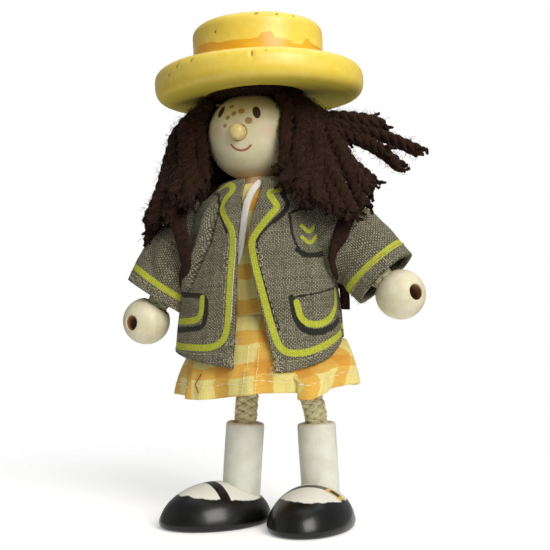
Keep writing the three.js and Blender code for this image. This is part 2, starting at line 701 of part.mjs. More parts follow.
// Sleeves, from a level ring at the shoulder to the cuff
function sleeve(arm) {
  const { stance, above, front, on } = arm;
  const shoulder = vec(stance.sign * (TORSO_WIDTH / 2), 0, armHeight - 0.6);
  const level = [vec(0, 0, 1), front.clone().setX(0).normalize()];
  const rings = [
    [on(stance.armReach - CUFF_COVER), above, front],
    [on(11), above, front],
    [on(4.5), above, front],
    [shoulder, ...level],
  ];
  const place = (u, v) => {
    const angle = Math.PI * 2 * u * stance.sign;
    const points = rings.map(([middle, top, ahead]) => middle.clone()
      .addScaledVector(top, -SLEEVE_RADIUS * Math.cos(angle))
      .addScaledVector(ahead, SLEEVE_RADIUS * SLEEVE_FLATNESS * Math.sin(angle)));
    return new THREE.CatmullRomCurve3(points).getPoint(v);
  };
  const tube = cloth(place, 16, 5, WOOL, true);
  return cut(tube, jacketForm(GAP), strap(arm, GAP));
}

arms.forEach((arm) => {
  const { side, stance, bend, elbow, on } = arm;
  const mouth = vec((stance.sign * TORSO_WIDTH) / 2, 0, armHeight);
  const shoulder = hinge(body, body, `shoulder_swing_${side}`, `shoulder_${side}`, vec(-1, 0, 0),
    ARM_SWING_RANGE, mouth);
  const raise = hinge(shoulder, body, `arm_raise_${side}`, `arm_${side}`, vec(0, -stance.sign, 0),
    ARM_RAISE_RANGE[side], elbow);
  const lower = new THREE.LineCurve3(on(GAP), on(stance.armReach - HAND_SEAT));
  piece(shoulder, body, `arm_rope_upper_${side}`, cord(bend, ROPE_RADIUS, wireHollow, 4), cotton.clone());
  piece(shoulder, body, `arm_wire_upper_${side}`, cord(bend, WIRE_RADIUS, 0, 4, 3), steel.clone());
  piece(raise, body, `arm_rope_lower_${side}`, cord(lower, ROPE_RADIUS, wireHollow, 1), cotton.clone());
  piece(raise, body, `arm_wire_lower_${side}`, cord(lower, WIRE_RADIUS, 0, 1, 3), steel.clone());
  piece(raise, body, `sleeve_${side}`, sleeve(arm), tweed.clone());
  piece(raise, body, `hand_${side}`, handBead(arm), skin.clone());
});

// Hair: locks that start under the brim and fall clear of the head and the shoulders
function lock([x, y, z, swept = 0]) {
  const angle = Math.atan2(y, x);
  const reach = Math.hypot(x, y);
  const at = (radius, height, share = 1) => {
    const way = angle + turn(swept) * share;
    return vec(radius * Math.cos(way), radius * Math.sin(way), height);
  };
  const root = HEAD_RADIUS + LOCK_RADIUS / 2;
  const side = HEAD_RADIUS + LOCK_RADIUS + 1;
  const path = new THREE.CatmullRomCurve3([
    at(root - 2, hatBottom - LOCK_RADIUS - 0.8),
    at(side, hatBottom - LOCK_RADIUS - 3.6),
    at((side * 2 + reach) / 3 + 0.6, (hatBottom + TORSO_HEIGHT + z) / 2 - 1, 0.5),
    vec(x, y, TORSO_HEIGHT + z),
  ]);
  return cord(path, LOCK_RADIUS, 0, 4, 3);
}

function hair(ends) {
  const root = HEAD_RADIUS - 1;
  const angles = ends.map(([x, y]) => Math.atan2(y, x));
  const knots = angles.slice(1).map((angle, i) => {
    const before = angles[i];
    const gap = Math.atan2(Math.sin(angle - before), Math.cos(angle - before));
    const height = hatBottom - LOCK_RADIUS - 0.8;
    const from = vec(root * Math.cos(before), root * Math.sin(before), height);
    const to = vec(root * Math.cos(before + gap), root * Math.sin(before + gap), height);
    return bar(from, to, LOCK_RADIUS * 0.8, 6);
  });
  const mass = fuse([...ends.map(lock), ...knots]);
  return cut(mass, headBall(GAP), hatShape(GAP), jacketForm(GAP), ...arms.map((arm) => strap(arm, GAP)));
}

Object.entries(LOCKS).forEach(([name, ends]) => {
  piece(neck, body, name, hair(ends), paint(0x2e1f16, 1));
});

// Legs: rope from the torso into the leg tube, and the tube in its shoe
function halves(from, first, second, to) {
  const mix = (a, b) => vec().addVectors(a, b).multiplyScalar(0.5);
  const [p, q, r] = [mix(from, first), mix(first, second), mix(second, to)];
  const [s, t] = [mix(p, q), mix(q, r)];
  const middle = mix(s, t);
  return [new THREE.CubicBezierCurve3(from, p, s, middle), new THREE.CubicBezierCurve3(middle, t, r, to)];
}

Object.entries(SIDES).forEach(([side, stance]) => {
  const tilt = turn(LEG_TILT) * stance.sign;
  const up = vec(-Math.sin(tilt), 0, Math.cos(tilt));
  const base = vec(stance.foot[0], stance.foot[1], SHOE_FLOOR);
  const tubeAt = (height) => base.clone().addScaledVector(up, (height - SHOE_FLOOR) / up.z);
  const x = (stance.sign * LEG_SPACING) / 2;
  const inBody = (height) => body.localToWorld(vec(x, 0, height));
  const mouth = inBody(-1);
  const axis = vec().subVectors(mouth, inBody(5)).normalize();
  const top = tubeAt(TUBE_TOP + 0.5);
  const handle = (mouth.z - top.z) / 3;
  const [high, low] = halves(mouth, mouth.clone().addScaledVector(axis, handle),
    top.clone().addScaledVector(up, handle), top);
  const upper = pathOf(new THREE.LineCurve3(inBody(LEG_SEAT), mouth), high);
  const slip = vec().subVectors(low.getPoint(0.1), low.getPoint(0)).normalize().multiplyScalar(GAP);
  const start = low.v0.clone().add(slip);
  const lower = pathOf(new THREE.CubicBezierCurve3(start, low.v1.clone().add(slip), low.v2, low.v3),
    new THREE.LineCurve3(top, tubeAt(TUBE_TOP - TUBE_SEAT)));

  const hip = hinge(figure, figure, `hip_swing_${side}`, `thigh_${side}`, vec(-1, 0, 0),
    HIP_SWING_RANGE, mouth);
  const spread = hinge(hip, figure, `leg_spread_${side}`, `shin_${side}`, vec(0, -stance.sign, 0),
    LEG_SPREAD_RANGE, low.v0);
  const spinAxis = up.clone().multiplyScalar(stance.sign);
  const foot = hinge(spread, figure, `foot_turn_${side}`, `foot_${side}`, spinAxis, FOOT_TURN_RANGE[side], base);
  piece(hip, figure, `leg_rope_upper_${side}`, cord(upper, ROPE_RADIUS, wireHollow, 6), cotton.clone());
  piece(hip, figure, `leg_wire_upper_${side}`, cord(upper, WIRE_RADIUS, 0, 6, 3), steel.clone());
  piece(spread, figure, `leg_rope_lower_${side}`, cord(lower, ROPE_RADIUS, wireHollow, 6), cotton.clone());
  piece(spread, figure, `leg_wire_lower_${side}`, cord(lower, WIRE_RADIUS, 0, 6, 3), steel.clone());

  const length = (TUBE_TOP - SHOE_FLOOR - GAP) / up.z;
  const edge = TUBE_RADIUS - TUBE_EDGE;
  const tube = turned([[0, 0], ...corner(edge, TUBE_EDGE, TUBE_EDGE, -90, 0, 2),
    ...corner(edge, length - TUBE_EDGE, TUBE_EDGE, 0, 90, 2), [0, length]], 20);
  const spin = new THREE.Quaternion().setFromUnitVectors(vec(0, 0, 1), up);
  const seated = base.clone().addScaledVector(up, GAP);
  tube.applyQuaternion(spin).translate(seated.x, seated.y, seated.z);
  const seat = bar(tubeAt(TUBE_TOP - TUBE_SEAT - GAP), tubeAt(TUBE_TOP + 2), boreRadius);
  piece(foot, figure, `leg_tube_${side}`, cut(tube, seat), paint(0xf1efe8, 0.35));

  const outline = [[0, 0], [0.9, 0], [0.97, 0.05], [1, 0.16]];
  for (let i = 1; i <= 6; i += 1) {
    outline.push([Math.cos(turn(15 * i)), Math.max(0.2, Math.sin(turn(15 * i)))]);
  }
  const last = turned(outline, 28).scale(SHOE_WIDTH / 2, SHOE_LENGTH / 2, SHOE_HEIGHT);
  last.translate(0, -SHOE_SETBACK, 0).rotateZ(turn(stance.toeOut) * stance.sign);
  last.translate(base.x, base.y, 0);
  const socket = bar(base, tubeAt(TUBE_TOP), TUBE_RADIUS + GAP, 24);
  piece(foot, figure, `shoe_${side}`, cut(last, socket), paint(0x161616, 0.3));
});

// The origin lies on the floor under the middle of the whole figure
const whole = new THREE.Group();
whole.add(figure);
whole.updateMatrixWorld(true);
const extent = new THREE.Box3().setFromObject(figure, true);
figure.position.set(-(extent.min.x + extent.max.x) / 2, -(extent.min.y + extent.max.y) / 2, -extent.min.z);
whole.updateMatrixWorld(true);

export default whole;
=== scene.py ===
import json
import math

import bmesh
import bpy
import numpy as np
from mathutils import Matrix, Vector


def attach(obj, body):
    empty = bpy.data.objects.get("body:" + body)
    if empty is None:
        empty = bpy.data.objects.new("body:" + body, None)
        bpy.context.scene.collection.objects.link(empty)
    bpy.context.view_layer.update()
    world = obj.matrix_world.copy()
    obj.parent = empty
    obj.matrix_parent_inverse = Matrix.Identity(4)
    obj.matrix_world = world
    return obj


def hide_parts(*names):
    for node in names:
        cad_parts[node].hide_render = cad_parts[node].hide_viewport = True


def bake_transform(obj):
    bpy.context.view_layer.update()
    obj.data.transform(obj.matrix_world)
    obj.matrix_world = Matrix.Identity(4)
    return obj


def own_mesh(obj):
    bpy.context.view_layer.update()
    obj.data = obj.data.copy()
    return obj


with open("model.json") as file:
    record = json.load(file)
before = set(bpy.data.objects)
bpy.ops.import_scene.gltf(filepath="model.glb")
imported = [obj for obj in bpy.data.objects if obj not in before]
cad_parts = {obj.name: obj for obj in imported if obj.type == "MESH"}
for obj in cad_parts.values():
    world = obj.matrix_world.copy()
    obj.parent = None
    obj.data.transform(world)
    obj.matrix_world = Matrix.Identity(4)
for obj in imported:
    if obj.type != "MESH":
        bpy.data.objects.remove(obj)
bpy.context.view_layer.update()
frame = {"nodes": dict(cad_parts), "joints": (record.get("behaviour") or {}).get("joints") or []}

# Sizes in millimetres, as in the part's source
MM = 0.001
LEAN = math.radians(5.3)
TORSO_WIDTH, TORSO_DEPTH, TORSO_HEIGHT = 25.0, 17.0, 37.0
HEAD_RADIUS, HEAD_MIDDLE, NECK_TOP = 10.4, 48.5, 44.8
NOSE_DROP, NOSE_HOLE = 0.8, 2.05
HAT_BOTTOM, HAT_SHIFT = 56.9, 2.8
HAT_TILT, HAT_PITCH = math.radians(3.8), math.radians(2.5)
ROPE_RADIUS = 2.8
ARM_HEIGHT, ARM_BEND, ARM_START = 27.0, 4.5, 11.8
HAND_RADIUS, HAND_SEAT, GRIP_RADIUS = 5.6, 3.4, 1.7
TUBE_TOP, TUBE_SEAT, SHOE_FLOOR = 23.0, 8.0, 3.0
LEG_SPACING, LEG_SEAT, LEG_TILT = 11.2, 12.0, math.radians(3.6)
# Of each side: the sign of X, degrees the arm drops and comes forwards, its reach, degrees the toe turns
STANCE = {
    "right": dict(sign=-1, drop=52, forward=8, reach=22.8, toe_out=43),
    "left": dict(sign=1, drop=47, forward=7, reach=24.6, toe_out=-8),
}
JOINT_AT = {j["name"]: np.array(j["pos_m"]) / MM for j in frame["joints"]}
BODY_AT = JOINT_AT["neck_turn"] - NECK_TOP * np.array([-math.sin(LEAN), 0, math.cos(LEAN)])
BODY_TURN = np.array([[math.cos(LEAN), 0, -math.sin(LEAN)], [0, 1, 0], [math.sin(LEAN), 0, math.cos(LEAN)]])


def on_body(points):
    """Points of the leaning body as points of the part's frame."""
    return np.asarray(points, float) @ BODY_TURN.T + BODY_AT


def unit(v):
    v = np.asarray(v, float)
    return v / np.linalg.norm(v, axis=-1, keepdims=True)


def ease(low, high, x):
    """Smooth step from 0 at low to 1 at high."""
    t = np.clip((np.asarray(x, float) - low) / (high - low), 0, 1)
    return t * t * (3 - 2 * t)


def ink(r, g, b):
    """A display colour of 0 to 255 as the shader's own colour."""
    shares = [c / 255 for c in (r, g, b)]
    return tuple(((c + 0.055) / 1.055) ** 2.4 if c > 10 / 255 else c / 12.92 for c in shares) + (1.0,)


# Node trees written as expressions
def operator(operation):
    """An operator of Value that adds a Math node, and the same operator reflected."""
    def plain(self, other):
        return self.math(operation, self, other)

    def reflected(self, other):
        return self.math(operation, other, self)

    return plain, reflected


class Value:
    """A socket of a node tree; operators on it add Math nodes."""

    def __init__(self, nodes, socket):
        self.nodes, self.socket = nodes, socket

    def math(self, operation, first, second=0.0):
        return self.nodes.add("ShaderNodeMath", {"operation": operation}, {0: first, 1: second})

    __add__, __radd__ = operator("ADD")
    __sub__, __rsub__ = operator("SUBTRACT")
    __mul__, __rmul__ = operator("MULTIPLY")
    __truediv__, __rtruediv__ = operator("DIVIDE")
    __mod__, __rmod__ = operator("FLOORED_MODULO")
    __or__, __ror__ = operator("MAXIMUM")
    __and__, __rand__ = operator("MINIMUM")

    def __abs__(self):
        return self.math("ABSOLUTE", self)

    def wave(self):
        return self.math("SINE", self)

    def floor(self):
        return self.math("FLOOR", self)

    def ease(self, low, high):
        """0 below low, 1 above high, or the other way round where low is above high."""
        ends = {"Value": self, "From Min": low, "From Max": high}
        if low > high:
            ends = {"Value": self, "From Min": high, "From Max": low, "To Min": 1.0, "To Max": 0.0}
        return self.nodes.add("ShaderNodeMapRange", {"interpolation_type": "SMOOTHSTEP"}, ends)


class Nodes:
    """A node tree with one way to add any node."""

    def __init__(self, tree):
        self.tree = tree

    def add(self, kind, settings=None, sockets=None, out=0):
        node = self.tree.nodes.new(kind)
        for name, value in (settings or {}).items():
            setattr(node, name, value)
        for key, value in (sockets or {}).items():
            if isinstance(value, Value):
                self.tree.links.new(value.socket, node.inputs[key])
            else:
                node.inputs[key].default_value = value
        return Value(self, node.outputs[out])

    def split(self, vector):
        first = self.add("ShaderNodeSeparateXYZ", sockets={0: vector})
        return [Value(self, s) for s in first.socket.node.outputs]

    def join(self, x, y, z=0.0):
        return self.add("ShaderNodeCombineXYZ", sockets={0: x, 1: y, 2: z})

    def vector(self, operation, first, second, out=0):
        return self.add("ShaderNodeVectorMath", {"operation": operation}, {0: first, 1: second}, out)

    def scaled(self, vector, factor):
        return self.add("ShaderNodeVectorMath", {"operation": "SCALE"}, {0: vector, "Scale": factor})


# Millimetres of cloth to one unit of its flat map
FLAT_SCALE = 100.0


class Paint(Nodes):
    """A material: plain values are set on the shader, and what varies is linked at the end."""

    def __init__(self, name, **plain):
        self.material = bpy.data.materials.new(name)
        self.material.use_nodes = True
        super().__init__(self.material.node_tree)
        self.shader = self.tree.nodes["Principled BSDF"]
        for socket, value in plain.items():
            self.shader.inputs[socket.replace("_", " ")].default_value = value

    def place(self):
        """Object coordinates in millimetres."""
        return self.scaled(self.add("ShaderNodeTexCoord", out="Object"), 1000.0)

    def local(self, middle, turn, axis="Y_AXIS"):
        """Object coordinates in millimetres from a middle, turned about an axis."""
        spot = self.vector("SUBTRACT", self.place(), tuple(middle))
        return self.add("ShaderNodeVectorRotate", {"rotation_type": axis}, {"Vector": spot, "Angle": turn})

    def dot(self, first, second):
        return self.vector("DOT_PRODUCT", first, tuple(second), "Value")

    def apart(self, first, second):
        return self.vector("DISTANCE", first, tuple(second), "Value")

    def cloth_place(self):
        """The cloth's own flat measure in millimetres."""
        return self.scaled(self.add("ShaderNodeUVMap", {"uv_map": "flat"}), FLAT_SCALE)

    def value(self, name):
        return self.add("ShaderNodeAttribute", {"attribute_name": name}, out="Fac")

    def noise(self, at, scale, detail=3.0, rough=0.55):
        sockets = {"Vector": at, "Scale": scale, "Detail": detail, "Roughness": rough}
        return self.add("ShaderNodeTexNoise", {}, sockets)

    def chance(self, at):
        """A fixed random value for each whole-numbered place."""
        return self.add("ShaderNodeTexWhiteNoise", {"noise_dimensions": "3D"}, {"Vector": at})

    def mix(self, first, second, factor):
        return self.add("ShaderNodeMix", {"data_type": "RGBA"}, {0: factor, 6: first, 7: second}, 2)

    def finish(self, colour, roughness, height=None, depth=0.1, strength=1.0, **more):
        """Links what varies; depth is the bump's height in millimetres."""
        links = {"Base Color": colour, "Roughness": roughness}
        links.update({socket.replace("_", " "): value for socket, value in more.items()})
        if height is not None:
            sockets = {"Height": height, "Distance": depth * MM, "Strength": strength}
            links["Normal"] = self.add("ShaderNodeBump", {}, sockets)
        for socket, value in links.items():
            if isinstance(value, Value):
                self.tree.links.new(value.socket, self.shader.inputs[socket])
            else:
                self.shader.inputs[socket].default_value = value
        return self.material


# Meshes
def piece(name, points, faces, paint, flat=None, values=None):
    """A mesh piece from points in millimetres of the part's frame."""
    mesh = bpy.data.meshes.new(name)
    mesh.from_pydata((np.asarray(points) * MM).tolist(), [], faces)
    if flat is not None:
        corner = np.zeros(len(mesh.loops), np.int32)
        mesh.loops.foreach_get("vertex_index", corner)
        layer = mesh.uv_layers.new(name="flat")
        layer.data.foreach_set("uv", (np.asarray(flat)[corner] / FLAT_SCALE).astype(np.float32).ravel())
    for key, row in (values or {}).items():
        kept = mesh.attributes.new(key, "FLOAT", "POINT")
        kept.data.foreach_set("value", np.asarray(row, np.float32).ravel())
    mesh.polygons.foreach_set("use_smooth", [True] * len(mesh.polygons))
    mesh.materials.append(paint)
    mesh.update()
    body = bpy.data.objects.new(name, mesh)
    bpy.context.scene.collection.objects.link(body)
    return body


def capped(rings, count):
    """Faces of rings of points in turn, closed by the two points that follow them."""
    faces = []
    for j in range(rings - 1):
        low, high = j * count, (j + 1) * count
        for i in range(count):
            n = (i + 1) % count
            faces.append((low + i, low + n, high + n, high + i))
    foot, last = rings * count, (rings - 1) * count
    for i in range(count):
        n = (i + 1) % count
        faces += [(foot, n, i), (foot + 1, last + i, last + n)]
    return faces


def turned(outline, segments):
    """Points and faces of an outline of radius and height turned about Z; its ends lie on the axis."""
    rings = [(r, z) for r, z in outline if r > 1e-6]
    angles = np.arange(segments) * (2 * math.pi / segments)
    points = [(r * math.cos(a), r * math.sin(a), z) for r, z in rings for a in angles]
    points += [(0, 0, outline[0][1]), (0, 0, outline[-1][1])]
    return np.array(points), capped(len(rings), segments)


def lengths(path):
    """Distance along a path at each of its points."""
    return np.r_[0, np.cumsum(np.linalg.norm(np.diff(path, axis=0), axis=1))]


def spaced(outline, step):
    """An outline with points every step along it."""
    p = np.asarray(outline, float)
    far = lengths(p)
    parts = [max(2, int(round((b - a) / step)) + 1) for a, b in zip(far[:-1], far[1:])]
    extra = [np.linspace(a, b, count)[:-1] for a, b, count in zip(far[:-1], far[1:], parts)]
    t = np.r_[np.concatenate(extra), far[-1]]
    return np.stack([np.interp(t, far, p[:, k]) for k in range(p.shape[1])], -1)


def rounded(r, z, radius, begin, end, count):
    """Points of an arc of an outline about a middle, from one angle in degrees to another."""
    a = np.radians(np.linspace(begin, end, count + 1))
    return [(r + radius * math.cos(x), z + radius * math.sin(x)) for x in a]


def frame_of(axis, ahead):
    """Columns across, ahead and along an axis."""
    along = unit(axis)
    across = unit(np.cross(ahead, along))
    return np.stack([across, np.cross(along, across), along], -1)


def sheet_mesh(place, columns, rows, closed, thick):
    """Outer and inner face of cloth; place(u, v) gives its points, u around and v upwards."""
    count = columns if closed else columns + 1
    u = np.arange(count) / columns
    v = np.arange(rows + 1) / rows
    uu, vv = np.meshgrid(u, v)
    outer = place(uu, vv)
    step = 1e-3
    across = place(uu + step, vv) - place(uu - step, vv)
    rise = place(uu, np.minimum(1, vv + step)) - place(uu, np.maximum(0, vv - step))
    normal = unit(np.cross(across, rise))
    depth = thick(uu, vv)[..., None] if callable(thick) else thick
    inner = outer - normal * depth
    points = np.concatenate([outer.reshape(-1, 3), inner.reshape(-1, 3)])
    size = count * (rows + 1)
    faces = []

    def at(i, j):
        return (i % count) + j * count

    for j in range(rows):
        for i in range(columns):
            q = (at(i, j), at(i + 1, j), at(i + 1, j + 1), at(i, j + 1))
            faces += [q, tuple(k + size for k in q[::-1])]
    for i in range(columns):
        faces += [(at(i, 0) + size, at(i + 1, 0) + size, at(i + 1, 0), at(i, 0)),
                  (at(i, rows), at(i + 1, rows), at(i + 1, rows) + size, at(i, rows) + size)]
    for j in range(rows if not closed else 0):
        faces += [(at(0, j), at(0, j + 1), at(0, j + 1) + size, at(0, j) + size),
                  (at(columns, j) + size, at(columns, j + 1) + size, at(columns, j + 1), at(columns, j))]
    return points, faces, uu, vv


# Camera, floor and light; the photo's width, focal length and shift of the view in pixels
PHOTO_WIDTH, FOCAL, SHIFT_RIGHT, SHIFT_UP = 550, 920, 17, 47
VIEW_TURN, VIEW_DISTANCE = math.radians(17), 0.216
SENSOR = 36.0
FLOOR_RADIUS, FLOOR_CORNERS = 170, 96


def camera():
    lens = bpy.data.cameras.new("camera")
    lens.sensor_width, lens.lens = SENSOR, SENSOR * FOCAL / PHOTO_WIDTH
    lens.clip_start, lens.clip_end = 0.01, 20
    eye = bpy.data.objects.new("camera", lens)
    bpy.context.scene.collection.objects.link(eye)
    ahead = Vector((-math.sin(VIEW_TURN), math.cos(VIEW_TURN), 0))
    right = Vector((math.cos(VIEW_TURN), math.sin(VIEW_TURN), 0))
    middle = Vector((BODY_AT[0] - 2.8, 0, BODY_AT[2] + 4.5)) * MM
    eye.location = middle - ahead * VIEW_DISTANCE
    look = ahead * FOCAL + right * SHIFT_RIGHT + Vector((0, 0, SHIFT_UP))
    eye.rotation_mode = "QUATERNION"
    eye.rotation_quaternion = look.to_track_quat("-Z", "Y")
    bpy.context.scene.camera = eye


def lamp(name, at, size, power, colour, aim=(0, 0, 0.06)):
    light = bpy.data.lights.new(name, "AREA")
    light.shape, light.size, light.size_y = "RECTANGLE", *size
    light.energy, light.color = power, colour
    body = bpy.data.objects.new(name, light)
    bpy.context.scene.collection.objects.link(body)
    body.location = at
    body.rotation_mode = "QUATERNION"
    body.rotation_quaternion = (Vector(aim) - Vector(at)).to_track_quat("-Z", "Y")


def studio():
    white = (1.0, 1.0, 1.0, 1.0)
    floor_paint = Paint("pale_floor", Specular_IOR_Level=0.1, Emission_Strength=0.30, Emission_Color=white)
    spot = floor_paint.place()
    pale = floor_paint.mix(ink(246, 246, 245), ink(250, 250, 249), floor_paint.noise(spot, 0.02))
    far = floor_paint.vector("LENGTH", spot, (0, 0, 0), "Value")
    floor_paint.finish(pale, 0.9, Alpha=far.ease(165.0, 45.0))
    ring = np.arange(FLOOR_CORNERS) * 2 * math.pi / FLOOR_CORNERS
    corners = np.stack([FLOOR_RADIUS * np.cos(ring), FLOOR_RADIUS * np.sin(ring), 0 * ring], -1)
    floor = piece("floor", corners, [tuple(range(FLOOR_CORNERS))], floor_paint.material)
    world = bpy.data.worlds.new("studio")
    world.use_nodes = True
    sky = Nodes(world.node_tree)
    seen = sky.add("ShaderNodeLightPath", out="Is Camera Ray")
    backing = world.node_tree.nodes["Background"]
    height = sky.split(sky.add("ShaderNodeTexCoord", out="Generated"))[2]
    glow = height.ease(-0.25, 0.15) * 0.23 + 0.09
    world.node_tree.links.new((seen + (1 - seen) * glow).socket, backing.inputs["Strength"])
    backing.inputs["Color"].default_value = white
    bpy.context.scene.world = world
    bpy.context.scene.view_settings.view_transform = "Standard"
    lamp("window", (0.38, -0.36, 0.36), (0.32, 0.36), 3.2, (1.0, 0.985, 0.95))
    lamp("fill", (-0.45, -0.20, 0.22), (0.4, 0.4), 0.08, (0.86, 1.0, 0.82))
    lamp("above", (0.05, 0.10, 0.60), (0.6, 0.6), 1.1, (1.0, 1.0, 1.0))


camera()
studio()


# Turned and painted wood
def grain(paint, at, along=(1.0, 1.0, 0.12), scale=0.9):
    """Fine streaks of wood along Z, from 0 to 1."""
    return paint.noise(paint.vector("MULTIPLY", at, along), scale, 4.0, 0.6)


def hat_paint():
    p = Paint("hat_paint", Coat_Roughness=0.22, Coat_IOR=1.4)
    at = p.place()
    x, y, z = (p.value(key) for key in ("across", "back", "rise"))
    local = p.join(x, y, z)
    speck = p.noise(at, 0.55, 4.0)
    brush = p.noise(p.vector("MULTIPLY", local, (0.35, 0.35, 3.0)), 0.7, 3.0)
    yellow = p.mix(ink(246, 213, 74), ink(249, 220, 90), speck.ease(0.35, 0.65))
    yellow = p.mix(yellow, ink(240, 202, 58), brush.ease(0.55, 0.8) * 0.3)
    # Painted ribbon round the foot of the crown, with an uneven upper edge
    way = p.add("ShaderNodeMath", {"operation": "ARCTAN2"}, {0: x, 1: 0 - y})
    edge = p.noise(p.join(way * 2.2, 0.0, 0.0), 1.4, 2.0) * 1.4 + 10.1
    for middle, width, rise in ((-0.62, 0.3, 0.8), (0.42, 0.14, 1.3), (0.92, 0.16, -0.9), (1.08, 0.1, 0.7)):
        edge = edge + (abs(way - middle) / width).ease(1.0, 0.4) * rise
    out = p.vector("LENGTH", p.join(x, y), (0, 0, 0), "Value")
    ribbon = (z - edge).ease(0.12, -0.12) * (z - 7.25).ease(-0.1, 0.1) * (out - 15.9).ease(0.2, -0.2)
    tint = p.noise(p.join(way * 1.6, z * 0.3, 0.0), 1.0, 2.0)
    orange = p.mix(ink(226, 160, 6), ink(236, 180, 20), tint.ease(0.35, 0.65))
    colour = p.mix(yellow, orange, ribbon * 0.95)
    # Painted shade with a painted green reflection: the underside of the brim is darker and olive
    under = z.ease(2.4, 0.6) * (out - 23.6).ease(0.0, -1.6)
    colour = p.mix(colour, ink(206, 190, 62), under * 0.75)
    # Dirt and bare wood in the dents
    dent = p.value("dent")
    colour = p.mix(colour, ink(122, 78, 30), dent.ease(0.25, 0.9) * 0.85)
    # Painted shade: the recess in the hat's underside is dark brown
    colour = p.mix(colour, ink(60, 44, 26), p.value("recess_shade"))
    rough = 0.34 + speck * 0.12 + dent * 0.3 + (under | p.value("recess_shade")) * 0.3
    fine = p.noise(at, 1.6, 4.0) * 0.6 + p.noise(at, 0.25, 2.0) * 1.4
    gloss = (0.26 - dent * 0.2) * (1 - (under | p.value("recess_shade")))
    return p.finish(colour, rough, fine, 0.05, 0.5, Coat_Weight=gloss)


# Dents of the hat: degrees from the front towards the figure's left, radius and height of the place,
# length, width, depth and slant
HAT_DENTS = (
    (15.5, 14.5, 16.5, 0.7, 0.55, 0.5, 60), (34, 14.6, 16.4, 0.65, 0.4, 0.45, 10),
    (51, 14.6, 16.4, 0.6, 0.4, 0.4, 15), (13, 24.3, 5.0, 1.2, 0.28, 0.45, 5),
    (-31, 24.3, 5.0, 1.2, 0.25, 0.3, 25), (-20, 24.2, 5.2, 0.9, 0.25, 0.25, 30),
    (-38, 24.5, 3.4, 0.4, 0.4, 0.15, 0), (20, 23.9, 5.6, 0.35, 0.35, 0.15, 0),
    (-22, 15.35, 13.4, 0.5, 0.3, 0.18, 0), (150, 24.2, 5.0, 1.0, 0.25, 0.3, 10),
    (205, 14.6, 16.3, 0.6, 0.35, 0.35, 20),
)
BRIM_EDGE, BRIM_ROUND, BRIM_FULLNESS = 21.1, 3.5, 2 / 2.7


def hat_place(points):
    """Points of the hat's own frame in the body's frame."""
    x, y, z = np.asarray(points, float).T
    c, s = math.cos(HAT_TILT), math.sin(HAT_TILT)
    x, z = x * c + z * s, z * c - x * s
    c, s = math.cos(HAT_PITCH), math.sin(HAT_PITCH)
    y, z = y * c - z * s, z * c + y * s
    return np.stack([x + HAT_SHIFT, y, z + HAT_BOTTOM], -1)


def make_hat():
    # The edge of the brim is fuller than a half round
    swing = np.radians(np.linspace(-90, 90, 29))
    out, rise = (np.sign(k) * np.abs(k) ** BRIM_FULLNESS for k in (np.cos(swing), np.sin(swing)))
    edge = zip(BRIM_EDGE + BRIM_ROUND * out, BRIM_ROUND + BRIM_ROUND * rise)
    outline = [(0, 2.4), (10.3, 2.4), (10.4, 2.2), (10.45, 1.55), (10.8, 1.4), (14, 1.2), (17, 0.8),
               (19.4, 0.3), *edge, (15.7, 7.0), (15.45, 7.12), (15.35, 7.4),
               *rounded(12.95, 14.9, 2.4, 0, 90, 12), (0, 17.3)]
    outline = spaced(outline, 0.33)
    outline = outline[(outline[:, 0] > 0.4) | (np.arange(len(outline)) % (len(outline) - 1) == 0)]
    points, faces = turned([tuple(p) for p in outline], 300)
    angle = np.arctan2(points[:, 0], -points[:, 1])
    radius = np.hypot(points[:, 0], points[:, 1])
    # Hand-turned wood is a little uneven
    wobble = 0.06 * np.sin(3 * angle + 1.0) + 0.04 * np.sin(7 * angle + points[:, 2] * 0.6)
    points[:, :2] *= (1 + wobble / np.maximum(radius, 8))[:, None]
    shade = np.zeros(len(points))
    for turn, r, z, length, width, depth, slant in HAT_DENTS:
        a = math.radians(turn)
        across = np.arctan2(np.sin(angle - a), np.cos(angle - a)) * r
        up = (z - points[:, 2]) + (radius - r) * 0.8
        c, s = math.cos(math.radians(slant)), math.sin(math.radians(slant))
        wide, tall = (across * c + up * s) / width, (up * c - across * s) / length
        near = np.exp(-(wide ** 2 + tall ** 2) ** 2)
        near *= np.abs(radius - r) + np.abs(points[:, 2] - z) < 5
        fall = -0.6 * (points[:, 2] > 14.8)
        inward = unit(np.stack([-np.sin(a) + 0 * near, np.cos(a) + 0 * near, fall], -1))
        points += inward * (near * depth)[:, None]
        shade = np.maximum(shade, near)
    values = {"dent": shade, "across": points[:, 0], "back": points[:, 1], "rise": points[:, 2],
              "recess_shade": ease(10.5, 10.3, radius) * (points[:, 2] < 3)}
    hat = piece("hat_painted", on_body(hat_place(points)), faces, hat_paint(), values=values)
    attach(hat, "head")
    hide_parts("hat")


make_hat()


